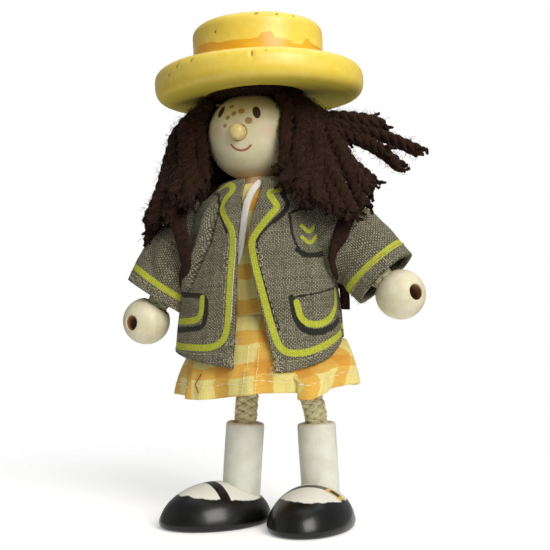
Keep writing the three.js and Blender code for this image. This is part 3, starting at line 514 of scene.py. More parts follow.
def face_paint():
    p = Paint("face_paint", Coat_Roughness=0.3)
    at = p.place()
    spot = p.local(on_body((0, 0, HEAD_MIDDLE)), LEAN)
    x, y, z = p.split(spot)
    mottle = p.noise(at, 0.35, 3.0)
    skin = p.mix(ink(226, 216, 174), ink(234, 226, 190), mottle.ease(0.35, 0.65))
    skin = p.mix(skin, ink(222, 208, 164), grain(p, spot).ease(0.5, 0.75) * 0.35)
    for middle, size, strength in (((-5.18, -9.0, 0.47), 2.3, 0.42), ((6.25, -8.27, -0.88), 2.6, 0.42)):
        skin = p.mix(skin, ink(226, 172, 160), p.apart(spot, middle).ease(size, 0.5) * strength)
    for px, py, pz, size in ((-1.65, -8.5, 5.77, 0.62), (0.91, -9.51, 4.11, 0.82), (-0.88, -9.64, 3.8, 0.68),
                             (-2.42, -9.63, 3.09, 0.58), (2.59, -9.95, 1.57, 0.9), (-3.23, -9.81, 1.27, 0.5)):
        edge = p.apart(spot, (px, py, pz)) + p.noise(spot, 1.3, 1.0) * 0.25
        skin = p.mix(skin, ink(170, 120, 44), edge.ease(size + 0.2, size) * 0.86)
    brown = ink(58, 30, 22)
    for middle in ((-4.43, -7.88, 5.15), (4.29, -8.81, 3.48)):
        out = unit(middle)
        side = unit(np.cross((0, 0, 1), out))
        up = np.cross(out, side)
        far = p.vector("SUBTRACT", spot, middle)
        across, rise = p.dot(far, side) / 0.92, p.dot(far, up) / 1.62
        oval = across * across + rise * rise
        skin = p.mix(skin, brown, oval.ease(1.12, 0.88) * (0 - y).ease(0.0, 1.0))
    # The smile is part of a circle below its chord
    ends, low = np.array([(-2.15, -3.18), (2.45, -3.87)]), np.array((0.21, -4.85))
    span = ends[1] - ends[0]
    half = np.linalg.norm(span) / 2
    tilt = unit(np.array([-span[1], span[0]]))
    sag = abs((low - ends[0]) @ tilt)
    radius = (half * half + sag * sag) / (2 * sag)
    hub = ends.mean(0) + tilt * (radius - sag)
    ring = p.apart(p.join(x, 0.0, z), (hub[0], 0, hub[1])) - radius
    below = p.dot(p.join(x - ends[0][0], 0.0, z - ends[0][1]), (-tilt[0], 0, -tilt[1]))
    smile = abs(ring).ease(0.29, 0.17) * below.ease(-0.1, 0.05) * (0 - y).ease(0.0, 1.0)
    skin = p.mix(skin, ink(172, 66, 34), smile * 0.92)
    # Painted shade inside the drilled hole of the nose, round the bead
    depth = p.vector("LENGTH", spot, (0, 0, 0), "Value")
    skin = p.mix(skin, ink(70, 44, 22), depth.ease(10.15, 9.7) * 0.9)
    rough = 0.44 + mottle * 0.14
    pores = p.noise(at, 1.3, 3.0) + p.noise(at, 4.5, 2.0) * 0.5
    return p.finish(skin, rough, pores, 0.06, 0.35, Coat_Weight=0.12)


def make_head():
    rim = 90 - math.degrees(math.asin(NOSE_HOLE / HEAD_RADIUS))
    angle = np.radians(np.linspace(-90, rim, 110))
    outline = [(HEAD_RADIUS * math.cos(a), HEAD_RADIUS * math.sin(a)) for a in angle]
    outline[0] = (0, -HEAD_RADIUS)
    outline += [(1.98, 10.12), (1.95, 9.9), (1.95, 8.6), (1.95, 7.3), (0, 7.3)]
    points, faces = turned(outline, 144)
    hole = unit((0, -math.sqrt(HEAD_RADIUS ** 2 - NOSE_DROP ** 2), -NOSE_DROP))
    points = points @ frame_of(hole, (0, 0, 1)).T + np.array([0, 0, HEAD_MIDDLE])
    head = piece("head_painted", on_body(points), faces, face_paint())
    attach(head, "head")
    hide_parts("head_ball")
    p = Paint("nose_paint", Coat_Roughness=0.2)
    at = p.place()
    cloud = p.noise(at, 0.8, 3.0)
    p.finish(p.mix(ink(236, 208, 128), ink(243, 222, 158), cloud.ease(0.3, 0.7)), 0.36 + cloud * 0.1,
             p.noise(at, 2.0), 0.03, 0.4, Coat_Weight=0.25)
    dome = [(1.85 * math.cos(a), 4.0 + 1.5 * math.sin(a)) for a in np.linspace(0, math.pi / 2, 16)]
    dome[-1] = (0, 5.5)
    points, faces = turned(spaced([(0, 0.3), (1.6, 0.3), (1.85, 0.6), *dome], 0.3).tolist(), 48)
    seat = np.array([0, 3 - HEAD_RADIUS, HEAD_MIDDLE - NOSE_DROP])
    points = points @ frame_of((0, -1, 0), (0, 0, 1)).T + seat
    nose = piece("nose_bead", on_body(points), faces, p.material)
    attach(nose, "head")
    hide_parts("nose_peg")


make_head()


def wood_paint(name, light, dark):
    p = Paint(name)
    at = p.place()
    rings = grain(p, at, (1.0, 1.0, 0.1), 1.4)
    fibre = p.noise(p.vector("MULTIPLY", at, (6.0, 6.0, 0.4)), 1.0, 2.0)
    colour = p.mix(ink(*light), ink(*dark), rings.ease(0.4, 0.7))
    return p.finish(colour, 0.55 + fibre * 0.2, fibre, 0.05, 0.4)


def wire_paint():
    p = Paint("bending_wire", Metallic=1.0)
    streak = p.noise(p.vector("MULTIPLY", p.place(), (8.0, 8.0, 0.5)), 1.0)
    colour = p.mix(ink(120, 118, 112), ink(160, 158, 150), streak)
    return p.finish(colour, 0.3 + streak * 0.25, streak, 0.01, 0.3)


BEECH = wood_paint("bare_beech", (214, 180, 132), (190, 152, 104))


def paint_hidden():
    """Paints the part's own solids where no other piece stands for them."""
    wire = wire_paint()
    for node, body in frame["nodes"].items():
        paint = wire if "_wire_" in node else BEECH
        if "_wire_" in node or node in ("torso_block", "hat_peg"):
            for slot in body.material_slots:
                slot.material = paint


def make_neck():
    outline = [(0, 31.3), (2.8, 31.3), (3, 31.5), (3, 44.6), (2.8, NECK_TOP), (0, NECK_TOP)]
    points, faces = turned(spaced(outline, 0.6).tolist(), 48)
    paint = wood_paint("neck_wood", (222, 192, 150), (204, 168, 122))
    neck = piece("neck_dowel", on_body(points), faces, paint)
    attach(neck, "torso")
    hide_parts("neck_peg")


paint_hidden()
make_neck()


class Arm:
    """Directions and points of an arm in the body's own frame."""

    def __init__(self, side):
        stance = STANCE[side]
        self.sign, self.reach = stance["sign"], stance["reach"]
        drop, forward = math.radians(stance["drop"]), math.radians(stance["forward"])
        self.out = np.array([self.sign, 0.0, 0.0])
        self.down = np.array([0, -math.sin(forward), -math.cos(forward)])
        self.start = np.array([self.sign * ARM_START, 0, ARM_HEIGHT])
        self.along = self.out * math.cos(drop) + self.down * math.sin(drop)
        self.above = self.out * math.sin(drop) - self.down * math.cos(drop)
        self.front = np.cross(self.above, self.along) * self.sign
        bend = self.out * ARM_BEND * math.sin(drop), self.down * ARM_BEND * (1 - math.cos(drop))
        self.elbow = self.start + bend[0] + bend[1]
        self.pull = 4 / 3 * math.tan(drop / 4) * ARM_BEND

    def on(self, reach):
        return self.elbow + self.along * reach


ARMS = {side: Arm(side) for side in STANCE}


def hand_paint(arm, name):
    p = Paint(name, Coat_Roughness=0.35)
    at = p.place()
    middle = on_body(arm.on(arm.reach))
    spot = p.vector("SUBTRACT", at, tuple(middle))
    cloud = p.noise(at, 0.4, 3.0)
    streaks = grain(p, spot, (1.6, 1.6, 0.2), 1.1)
    wood = p.mix(ink(218, 209, 174), ink(227, 220, 191), cloud.ease(0.35, 0.65))
    wood = p.mix(wood, ink(216, 198, 152), streaks.ease(0.52, 0.75) * 0.45)
    # The walls of the drilled holes turn brown near their rims and dark deeper in; the dark is painted shade
    inside = p.vector("LENGTH", spot, (0, 0, 0), "Value")
    wood = p.mix(wood, ink(176, 118, 58), inside.ease(HAND_RADIUS - 0.2, HAND_RADIUS - 0.7) * 0.9)
    wood = p.mix(wood, ink(60, 32, 14), inside.ease(HAND_RADIUS - 1.0, HAND_RADIUS - 3.2) * 0.9)
    height = p.noise(at, 1.5) + streaks * 0.4
    return p.finish(wood, 0.42 + cloud * 0.16, height, 0.05, 0.35, Coat_Weight=0.15)


def settled(body):
    """The mesh after its modifiers, as a plain mesh."""
    graph = bpy.context.evaluated_depsgraph_get()
    done = body.evaluated_get(graph)
    mesh = bpy.data.meshes.new_from_object(done, preserve_all_data_layers=True, depsgraph=graph)
    body.modifiers.clear()
    body.data = mesh
    return body


# Degrees that the hole through each hand is turned to the wrist and downwards
GRIP = {"right": (1, 9), "left": (19, 37)}


def make_hand(side):
    arm = ARMS[side]
    rim = [(3.05, -2.2), (3.05, -4.2), (3.2, -4.42), (3.5, -4.42)]
    begin = math.asin(-4.3 / HAND_RADIUS)
    swing = np.linspace(begin, math.pi / 2, 60)
    ball = [(HAND_RADIUS * math.cos(a), HAND_RADIUS * math.sin(a)) for a in swing]
    ball[-1] = (0, HAND_RADIUS)
    points, faces = turned(spaced([(0, -1.9), (2.8, -1.9), *rim, *ball], 0.4).tolist(), 96)
    place = frame_of(arm.along, arm.front)
    hand = piece(f"hand_bead_{side}", on_body(points @ place.T + arm.on(arm.reach)), faces,
                 hand_paint(arm, f"hand_wood_{side}"))
    back, down = np.tan(np.radians(GRIP[side]))
    grip = unit(arm.front - arm.along * back - arm.above * down)
    outline = [(0, -8), (GRIP_RADIUS, -8), (GRIP_RADIUS, 0), (GRIP_RADIUS, 8), (0, 8)]
    points, faces = turned(outline, 48)
    points = points @ frame_of(grip, arm.above).T + arm.on(arm.reach) + arm.along * GRIP_RADIUS
    drill = piece("drill", on_body(points), faces, BEECH)
    cut = hand.modifiers.new("hole", "BOOLEAN")
    cut.object, cut.operation, cut.solver = drill, "DIFFERENCE", "EXACT"
    fine = hand.modifiers.new("skin", "REMESH")
    fine.mode, fine.voxel_size, fine.use_smooth_shade = "VOXEL", 0.18 * MM, True
    soft = hand.modifiers.new("sanded", "SMOOTH")
    soft.factor, soft.iterations = 0.5, 5
    settled(hand)
    bpy.data.objects.remove(drill)
    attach(hand, f"arm_{side}")
    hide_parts(f"hand_{side}")


for side in STANCE:
    make_hand(side)


def leg_line(side):
    """Foot of a leg tube, the way the tube points, and a point of its line at a height."""
    base = JOINT_AT[f"foot_turn_{side}"]
    tilt = LEG_TILT * STANCE[side]["sign"]
    up = np.array([-math.sin(tilt), 0, math.cos(tilt)])

    def at(height):
        return base + up * (height - SHOE_FLOOR) / up[2]

    return base, up, at


def white_paint():
    p = Paint("white_paint", Coat_Roughness=0.3)
    at = p.place()
    cloud = p.noise(at, 0.3, 3.0)
    white = p.mix(ink(206, 206, 190), ink(216, 216, 203), cloud.ease(0.35, 0.65))
    streaks = p.noise(p.vector("MULTIPLY", at, (3.0, 3.0, 0.35)), 0.8, 4.0)
    white = p.mix(white, ink(196, 192, 170), streaks.ease(0.58, 0.8) * 0.5)
    nick = p.noise(p.vector("MULTIPLY", at, (1.0, 1.0, 0.25)), 1.7, 2.0, 0.7).ease(0.72, 0.76)
    white = p.mix(white, ink(190, 178, 148), nick * 0.7)
    height = streaks * 0.8 + p.noise(at, 1.2, 3.0) * 0.7 - nick * 0.8
    rough = 0.36 + cloud * 0.14 + nick * 0.2
    return p.finish(white, rough, height, 0.07, 0.45, Coat_Weight=0.2 - nick * 0.2)


def make_tube(side):
    base, up, _ = leg_line(side)
    low, hollow = 0.3, 3.05
    long = (TUBE_TOP - SHOE_FLOOR - low) / up[2]
    outline = [(0, 0), *rounded(3.9, 0.6, 0.6, -90, 0, 6), *rounded(3.75, long - 0.75, 0.75, 0, 90, 10),
               (3.4, long), (3.15, long - 0.15), (hollow, long - 0.4), (hollow, long - TUBE_SEAT),
               (0, long - TUBE_SEAT)]
    points, faces = turned(spaced(outline, 0.45).tolist(), 80)
    angle = np.arctan2(points[:, 1], points[:, 0])
    points[:, :2] *= (1 + 0.004 * np.sin(3 * angle + points[:, 2] * 0.3))[:, None]
    place = frame_of(up, (0, 1, 0))
    tube = piece(f"leg_dowel_{side}", points @ place.T + base + up * low, faces, WHITE_PAINT)
    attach(tube, f"foot_{side}")
    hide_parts(f"leg_tube_{side}")


# Half the width, half the length and the height of a shoe, and how far its middle lies ahead of the leg
SHOE_SIZE, SHOE_AHEAD = (9.5, 14.0, 9.6), 6.3


def shoe_paint(side):
    p = Paint(f"shoe_paint_{side}", Coat_Roughness=0.22, Specular_IOR_Level=0.2)
    sign = STANCE[side]["sign"]
    turn = math.radians(STANCE[side]["toe_out"]) * sign
    base = JOINT_AT[f"foot_turn_{side}"] * (1, 1, 0)
    spot = p.vector("ADD", p.local(base, -turn, "Z_AXIS"), (0, SHOE_AHEAD, 0))
    x, y, z = p.split(spot)
    at = p.place()
    way = p.add("ShaderNodeMath", {"operation": "ARCTAN2"}, {0: x, 1: 0 - y})
    waver = p.noise(p.join(way * 1.5, 0.0, sign * 3.0), 1.6, 2.0) * 1.1 - 0.55
    line = (way + math.pi / 2).wave() * 0.85 + 6.4 + waver
    cloud = p.noise(at, 0.4, 3.0)
    dull = p.noise(at, 0.9, 4.0)
    white = p.mix(ink(220, 219, 206), ink(229, 228, 217), cloud)
    black = p.mix(ink(3, 3, 3), ink(9, 9, 8), dull.ease(0.4, 0.7))
    scratch = p.noise(p.vector("MULTIPLY", at, (0.25, 0.25, 3.0)), 0.9, 3.0, 0.7).ease(0.70, 0.74)
    black = p.mix(black, ink(60, 57, 50), scratch * 0.4)
    dark = (z - line).ease(0.12, -0.12)
    slope = 0.4 if side == "left" else 0.05
    strap = abs(y + 1.5 - x * slope)
    dark = dark | (strap + waver * 0.15).ease(1.3, 1.1)
    colour = p.mix(white, black, dark)
    # Painted buckle on the outer side of the strap
    across, along = strap, abs(x * sign - 5.3)
    frame_edge = (across.ease(1.75, 1.6) * along.ease(1.75, 1.6)) * z.ease(2.0, 3.0)
    middle = across.ease(1.0, 0.85) * along.ease(1.0, 0.85)
    colour = p.mix(colour, ink(214, 178, 74), frame_edge * (1 - middle) * 0.95)
    rough = 0.30 + dull * 0.12 + scratch * 0.2
    height = p.noise(at, 0.5, 3.0) + dull * 0.5 - scratch * 0.5 + dark * 0.25
    return p.finish(colour, rough, height, 0.09, 0.55, Coat_Weight=0.18 + dark * 0.3)


def make_shoe(side):
    sign = STANCE[side]["sign"]
    rise = np.radians(np.linspace(9.2, 90, 70))
    outline = [(0, 0), (0.3, 0), (0.6, 0), (0.84, 0), (0.9, 0.004), (0.94, 0.02), (0.965, 0.045),
               (0.98, 0.08), (0.987, 0.12), *[(math.cos(a), math.sin(a)) for a in rise]]
    outline[-1] = (0, 1)
    points, faces = turned(outline, 160)
    points = points * np.array(SHOE_SIZE) - np.array([0, SHOE_AHEAD, 0])
    turn = math.radians(STANCE[side]["toe_out"]) * sign
    c, s = math.cos(turn), math.sin(turn)
    spin = np.array([[c, -s, 0], [s, c, 0], [0, 0, 1]])
    base, up, _ = leg_line(side)
    points = points @ spin.T + base * (1, 1, 0)
    # A shallow line round the foot of the leg, where the shoe is drilled for it
    off = points - base
    off = np.linalg.norm(off - np.outer(off @ up, up), axis=1)
    points[:, 2] -= np.where(points[:, 2] > 1, 0.35 * (1 - ease(4.5, 5.1, off)), 0)
    shoe = piece(f"shoe_painted_{side}", points, faces, shoe_paint(side))
    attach(shoe, f"foot_{side}")
    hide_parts(f"shoe_{side}")


WHITE_PAINT = white_paint()
for side in STANCE:
    make_tube(side)
    make_shoe(side)


# Geometry Nodes trees
class Maker(Nodes):
    """A Geometry Nodes tree with named inputs, used on a mesh and turned into a plain mesh."""

    def __init__(self, name):
        super().__init__(bpy.data.node_groups.new(name, "GeometryNodeTree"))
        self.face = self.tree.interface
        self.face.new_socket("Geometry", in_out="INPUT", socket_type="NodeSocketGeometry")
        self.face.new_socket("Geometry", in_out="OUTPUT", socket_type="NodeSocketGeometry")
        self.entry = self.tree.nodes.new("NodeGroupInput")
        self.exit = self.tree.nodes.new("NodeGroupOutput")
        self.given = Value(self, self.entry.outputs["Geometry"])

    def size(self, name, kind="Float"):
        self.face.new_socket(name, in_out="INPUT", socket_type="NodeSocket" + kind)
        return Value(self, self.entry.outputs[name])

    def close(self, geometry, paint):
        whole = self.add("GeometryNodeRealizeInstances", {}, {0: geometry})
        done = self.add("GeometryNodeSetMaterial", {}, {"Geometry": whole, "Material": paint})
        self.tree.links.new(done.socket, self.exit.inputs[0])

    def circle(self, radius, sides):
        sockets = {"Resolution": sides, "Radius": radius}
        return self.add("GeometryNodeCurvePrimitiveCircle", {"mode": "RADIUS"}, sockets)

    def swept(self, curve, ring, factor=1.0):
        """A ring swept along a curve, with closed ends."""
        even = self.add("GeometryNodeSetCurveRadius", {}, {"Curve": curve, "Radius": factor})
        sockets = {"Curve": even, "Profile Curve": ring, "Fill Caps": True}
        return self.add("GeometryNodeCurveToMesh", {}, sockets)

    def tube(self, curve, radius, sides):
        return self.swept(curve, self.circle(radius, sides))

    def path(self, step):
        """The given edges as a curve with a point every step."""
        curve = self.add("GeometryNodeMeshToCurve", {}, {0: self.given})
        sockets = {"Curve": curve, "Length": step}
        return self.add("GeometryNodeResampleCurve", {"mode": "LENGTH"}, sockets)

    def copies(self, curve, count):
        """Copies of a curve, and the number of each."""
        sockets = {"Geometry": curve, "Amount": count}
        many = self.add("GeometryNodeDuplicateElements", {"domain": "SPLINE"}, sockets)
        return many, Value(self, many.socket.node.outputs["Duplicate Index"])

    def beside(self, curve, reach, turn):
        """Moves a curve off its line by a reach at a turn round it."""
        ahead = self.add("GeometryNodeInputTangent")
        normal = self.add("GeometryNodeInputNormal")
        other = self.vector("CROSS_PRODUCT", ahead, normal)
        first = self.scaled(normal, (turn + math.pi / 2).wave() * reach)
        second = self.scaled(other, turn.wave() * reach)
        sockets = {"Geometry": curve, "Offset": self.vector("ADD", first, second)}
        return self.add("GeometryNodeSetPosition", {}, sockets)

    def keep(self, geometry, name, value):
        sockets = {"Geometry": geometry, "Name": name, "Value": value}
        return self.add("GeometryNodeStoreNamedAttribute", {"data_type": "FLOAT", "domain": "POINT"}, sockets)

    def chance(self, low, high, seed):
        sockets = {2: low, 3: high, "Seed": seed}
        return self.add("FunctionNodeRandomValue", {"data_type": "FLOAT"}, sockets, 1)

    def make(self, name, mesh, sizes):
        body = bpy.data.objects.new(name, mesh)
        bpy.context.scene.collection.objects.link(body)
        step = body.modifiers.new("make", "NODES")
        step.node_group = self.tree
        names = {s.name: s.identifier for s in self.face.items_tree if s.in_out == "INPUT"}
        for key, value in sizes.items():
            step[names[key]] = value
        return settled(body)


def lines(name, paths):
    """A mesh of edges along paths in millimetres of the part's frame."""
    points, edges = [], []
    for path in paths:
        edges += [(len(points) + i, len(points) + i + 1) for i in range(len(path) - 1)]
        points += (np.asarray(path) * MM).tolist()
    mesh = bpy.data.meshes.new(name)
    mesh.from_pydata(points, edges, [])
    return mesh


def rope_maker():
    """Cotton rope: two sets of strands that wind opposite ways and pass over and under each other."""
    m = Maker("braided_rope")
    radius, yarn = m.size("Radius"), m.size("Yarn")
    strands, pitch = m.size("Strands", "Int"), m.size("Pitch")
    paint = m.size("Paint", "Material")
    path = m.path(0.22 * MM)
    whole = []
    for way in (1.0, -1.0):
        for twin in (-1.0, 1.0):
            many, index = m.copies(path, strands)
            far = m.add("GeometryNodeSplineParameter", out="Length")
            spin = far * (2 * math.pi) / pitch
            share = index * (2 * math.pi) / strands + twin * 0.19
            over = ((spin * strands) + math.pi / 2).wave() * yarn * (0.55 * way)
            moved = m.beside(many, radius - yarn * 1.55 + over, share + spin * way)
            whole.append(m.tube(moved, yarn, 7))
    core = m.tube(path, radius - yarn * 1.75, 20)
    joined = m.tree.nodes.new("GeometryNodeJoinGeometry")
    for part in whole + [core]:
        m.tree.links.new(part.socket, joined.inputs[0])
    smooth = m.add("GeometryNodeSetShadeSmooth", {}, {0: Value(m, joined.outputs[0])})
    m.close(smooth, paint)
    return m


def rope_paint():
    p = Paint("cotton_rope", Sheen_Weight=0.3, Sheen_Roughness=0.5)
    at = p.place()
    cloud = p.noise(at, 0.5, 3.0)
    fibre = p.noise(p.vector("MULTIPLY", at, (2.0, 2.0, 1.4)), 3.0, 3.0)
    colour = p.mix(ink(198, 192, 146), ink(217, 211, 168), cloud.ease(0.3, 0.7))
    colour = p.mix(colour, ink(168, 157, 112), fibre.ease(0.55, 0.8) * 0.5)
    return p.finish(colour, 0.92, fibre, 0.12, 0.6)


ROPE, ROPE_PAINT = rope_maker(), rope_paint()
# Points along a rope's bend, and the two whose line the cut at the knee is square to
BEND_POINTS, KNEE_POINTS = 24, (10, 13)


def rope(name, path):
    sizes = {"Radius": ROPE_RADIUS * MM, "Yarn": 0.46 * MM, "Strands": 4, "Pitch": 8.2 * MM}
    return ROPE.make(name, lines(name, [path]), {**sizes, "Paint": ROPE_PAINT})


def bezier(a, b, c, d):
    t = np.linspace(0, 1, BEND_POINTS)[:, None]
    return a * (1 - t) ** 3 + 3 * b * t * (1 - t) ** 2 + 3 * c * t * t * (1 - t) + d * t ** 3


def parted(body, at, normal, name):
    """Splits a mesh in two by a plane; the new body gets the side that the normal points to."""
    mesh = body.data
    middle = np.zeros(len(mesh.polygons) * 3)
    mesh.polygons.foreach_get("center", middle)
    beyond = (middle.reshape(-1, 3) / MM - at) @ normal > 0
    other = body.copy()
    other.data = mesh.copy()
    other.name = other.data.name = name
    bpy.context.scene.collection.objects.link(other)
    for half, drop in ((body, beyond), (other, ~beyond)):
        work = bmesh.new()
        work.from_mesh(half.data)
        work.faces.ensure_lookup_table()
        bmesh.ops.delete(work, geom=[work.faces[i] for i in np.flatnonzero(drop)], context="FACES")
        work.to_mesh(half.data)
        work.free()
    return other


def make_leg_rope(side):
    _, up, at = leg_line(side)
    across = STANCE[side]["sign"] * LEG_SPACING / 2
    mouth = on_body((across, 0, -1))
    axis = unit(mouth - on_body((across, 0, 5)))
    top = at(TUBE_TOP + 0.5)
    handle = (mouth[2] - top[2]) / 3
    bend = bezier(mouth, mouth + axis * handle, top + up * handle, top)
    path = np.concatenate([[on_body((across, 0, LEG_SEAT))], bend, [at(TUBE_TOP - TUBE_SEAT)]])
    upper = rope(f"thigh_rope_{side}", path)
    knee = JOINT_AT[f"leg_spread_{side}"]
    first, last = KNEE_POINTS
    lower = parted(upper, knee, unit(bend[last] - bend[first]), f"shin_rope_{side}")
    hip = JOINT_AT[f"hip_swing_{side}"]
    (hip - axis * 1.2) * MM
    (hip + axis * 3.2) * MM
    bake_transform(upper)
    (knee - up * 4.5) * MM
    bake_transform(lower)
    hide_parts(f"leg_rope_upper_{side}")
    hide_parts(f"leg_rope_lower_{side}")


def make_arm_rope(side):
    arm = ARMS[side]
    pull = arm.out * arm.pull, arm.along * arm.pull
    bend = bezier(arm.start, arm.start + pull[0], arm.elbow - pull[1], arm.elbow)
    upper = rope(f"shoulder_rope_{side}", on_body(bend))
    straight = [arm.on(0.1), arm.on(8), arm.on(arm.reach - HAND_SEAT + 1)]
    lower = rope(f"arm_rope_{side}", on_body(straight))
    on_body(arm.start) * MM
    on_body(arm.start + arm.out * 3) * MM
    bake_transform(upper)
    on_body(arm.elbow - arm.along * 0.5) * MM
    on_body(arm.on(5)) * MM
    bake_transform(lower)
    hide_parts(f"arm_rope_upper_{side}")
    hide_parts(f"arm_rope_lower_{side}")


def make_torso_rope():
    middle = rope("torso_rope", on_body([(x, 0, ARM_HEIGHT) for x in (-11.5, 0, 11.5)]))
    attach(middle, "torso")
    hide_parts("arm_rope_middle")


for side in STANCE:
    make_leg_rope(side)
    make_arm_rope(side)
make_torso_rope()


# Jacket
COLLAR_TOP = TORSO_HEIGHT + 0.5
# Room over the torso at the side and in front, by the share of the torso's height
ROOM = np.array([[-0.176, 8, 7.5], [0, 7.6, 7.1], [0.27, 6.6, 5.5], [0.54, 5.3, 3.9], [0.757, 4.5, 3.5],
                 [0.865, 3, 3], [0.946, -1, 1.4], [1.014, -4.5, -1.2]])
# Height of the hem, by the degrees from the front
HEM = np.array([[-90, 0.2], [-62, -0.6], [-35, -2.7], [-17, -4.1], [0, -5.5], [25, -7.1], [43, -6.4],
                [66, -4.7], [86, -1.3], [96, 0.2]])
# Degrees of the right and the left front edge, by the share of the torso's height
EDGES = np.array([[-0.176, -3, 24.5], [0.108, -2.5, 17], [0.324, -3.5, 10.5], [0.54, -4, 4], [0.67, -4, 4],
                  [0.811, -1.5, 9], [1.014, -2, 27]])
# Thickness of the cloth, the height from which it hangs, and its width round the body to a degree
WOOL, HANG_FROM, PER_DEGREE = 0.8, 29, 0.28
# Shares of the torso's height over which the corners of the tables are rounded
ROOM_SPREAD, EDGE_SPREAD = 0.035, 0.05


def eased(rows, column, at, spread):
    """A table's value at a place, with its corners rounded over a spread."""
    around = (-1, -0.5, 0, 0.5, 1)
    return sum(np.interp(at + spread * k, rows[:, 0], rows[:, column]) for k in around) / len(around)


def jacket_size(height):
    """Half the width and half the depth of the jacket, and how far it hangs aside, at a height."""
    share = height / TORSO_HEIGHT
    wide = TORSO_WIDTH / 2 + eased(ROOM, 1, share, ROOM_SPREAD)
    deep = TORSO_DEPTH / 2 + eased(ROOM, 2, share, ROOM_SPREAD)
    return wide, deep, np.minimum(0, height - HANG_FROM) * math.tan(LEAN)


def jacket_at(angle, height, grown=0.0):
    """Points of the jacket by the angle from the front and the height."""
    wide, deep, hang = jacket_size(height)
    wide, deep = wide + grown, deep + grown
    return np.stack([wide * np.sin(angle) + hang, -deep * np.cos(angle), height + 0 * angle], -1)


def hem_at(angle):
    """Height of the jacket's hem."""
    return eased(HEM, 1, np.degrees(angle), 6)


def front_edge(column):
    """Angle of a front edge of the jacket, by the height."""
    return lambda height: np.radians(eased(EDGES, column, height / TORSO_HEIGHT, EDGE_SPREAD))


# Length round an oval of the jacket's middle sizes, by the angle
OVAL = (18.3, 13.4)
ROUND = np.linspace(-math.pi, 3 * math.pi, 2400)
ROUND_LENGTH = np.cumsum(np.hypot(OVAL[0] * np.cos(ROUND), OVAL[1] * np.sin(ROUND))) * (ROUND[1] - ROUND[0])


def jacket_flat(angle, height):
    """Flat place of the cloth: millimetres round the body and up."""
    return np.stack([np.interp(angle, ROUND, ROUND_LENGTH), height], -1)


def swell(angle, height, middle, size, lift, slant=0.0):
    """A soft bulge or hollow of cloth round an angle in degrees and a height."""
    turn = math.radians(slant)
    a, b = (np.degrees(angle) - middle[0]) * PER_DEGREE, height - middle[1]
    a, b = a * math.cos(turn) + b * math.sin(turn), b * math.cos(turn) - a * math.sin(turn)
    return lift * np.exp(-(a / size[0]) ** 2 - (b / size[1]) ** 2)


def jacket_folds(angle, height):
    """How far the cloth stands out in its folds."""
    out = 0.10 * np.sin(np.degrees(angle) * 0.11 + height * 0.35) * np.sin(height * 0.28 + 1.0)
    # Deep crease from the right shoulder down to the pocket, with the cloth by the sleeve standing proud
    line = np.interp(height, (10, 18.2, 23.2, 28.4, 33), (-56, -40, -30, -25, -23))
    off = (np.degrees(angle) - line) * PER_DEGREE
    deep = ease(11, 17, height) * (1 - ease(29, 34, height))
    out += deep * (1.5 * np.exp(-((off + 2.4) / 1.9) ** 2) - 1.5 * np.exp(-(off / 0.5) ** 2))
    # Pull of the left arm, the rolled lapels and the front corners
    out += swell(angle, height, (66, 14), (4.5, 6.0), 0.5, -15)
    out -= swell(angle, height, (80, 21), (1.3, 4.5), 0.7, -25)
    out += swell(angle, height, (20, 28), (2.8, 5.0), 0.55, -18)
    out += swell(angle, height, (-11, 29), (1.8, 5.0), 0.5, 14)
    out += swell(angle, height, (12, -4), (2.2, 3.0), 0.35) + swell(angle, height, (-8, -3), (2.0, 3.0), 0.3)
    # Waves low on the back
    out += 0.35 * np.exp(-((height - 2) / 7) ** 2) * np.sin(np.degrees(angle) * 0.09) * (np.abs(angle) > 1.6)
    return out


def rounded_line(points):
    """A line through points with its corners cut round, twice."""
    p = np.asarray(points, float)
    for _ in range(2):
        low, high = p[:-1] * 0.78 + p[1:] * 0.22, p[:-1] * 0.22 + p[1:] * 0.78
        p = np.concatenate([p[:1], np.stack([low, high], 1).reshape(-1, p.shape[1]), p[-1:]])
    return p


def on_jacket(marks, lift=0.0):
    """Marks of height and angle in degrees as closely spaced points on the jacket."""
    row = spaced(rounded_line([(h, a * PER_DEGREE) for h, a in marks]), 0.12)
    angle = np.radians(row[:, 1] / PER_DEGREE)
    return jacket_at(angle, row[:, 0], jacket_folds(angle, row[:, 0]) + lift)


def off_lines(points, drawn):
    """Signed distance of points from drawn lines, each given with its half width."""
    far_off, lot = 9.0, 6000
    best = np.full(len(points), far_off)
    for line, half in drawn:
        for begin in range(0, len(points), lot):
            part = points[begin:begin + lot]
            square = (part ** 2).sum(1)[:, None] + (line ** 2).sum(1)[None] - 2 * part @ line.T
            off = np.sqrt(np.maximum(0, square.min(1))) - half
            best[begin:begin + lot] = np.minimum(best[begin:begin + lot], off)
    return best
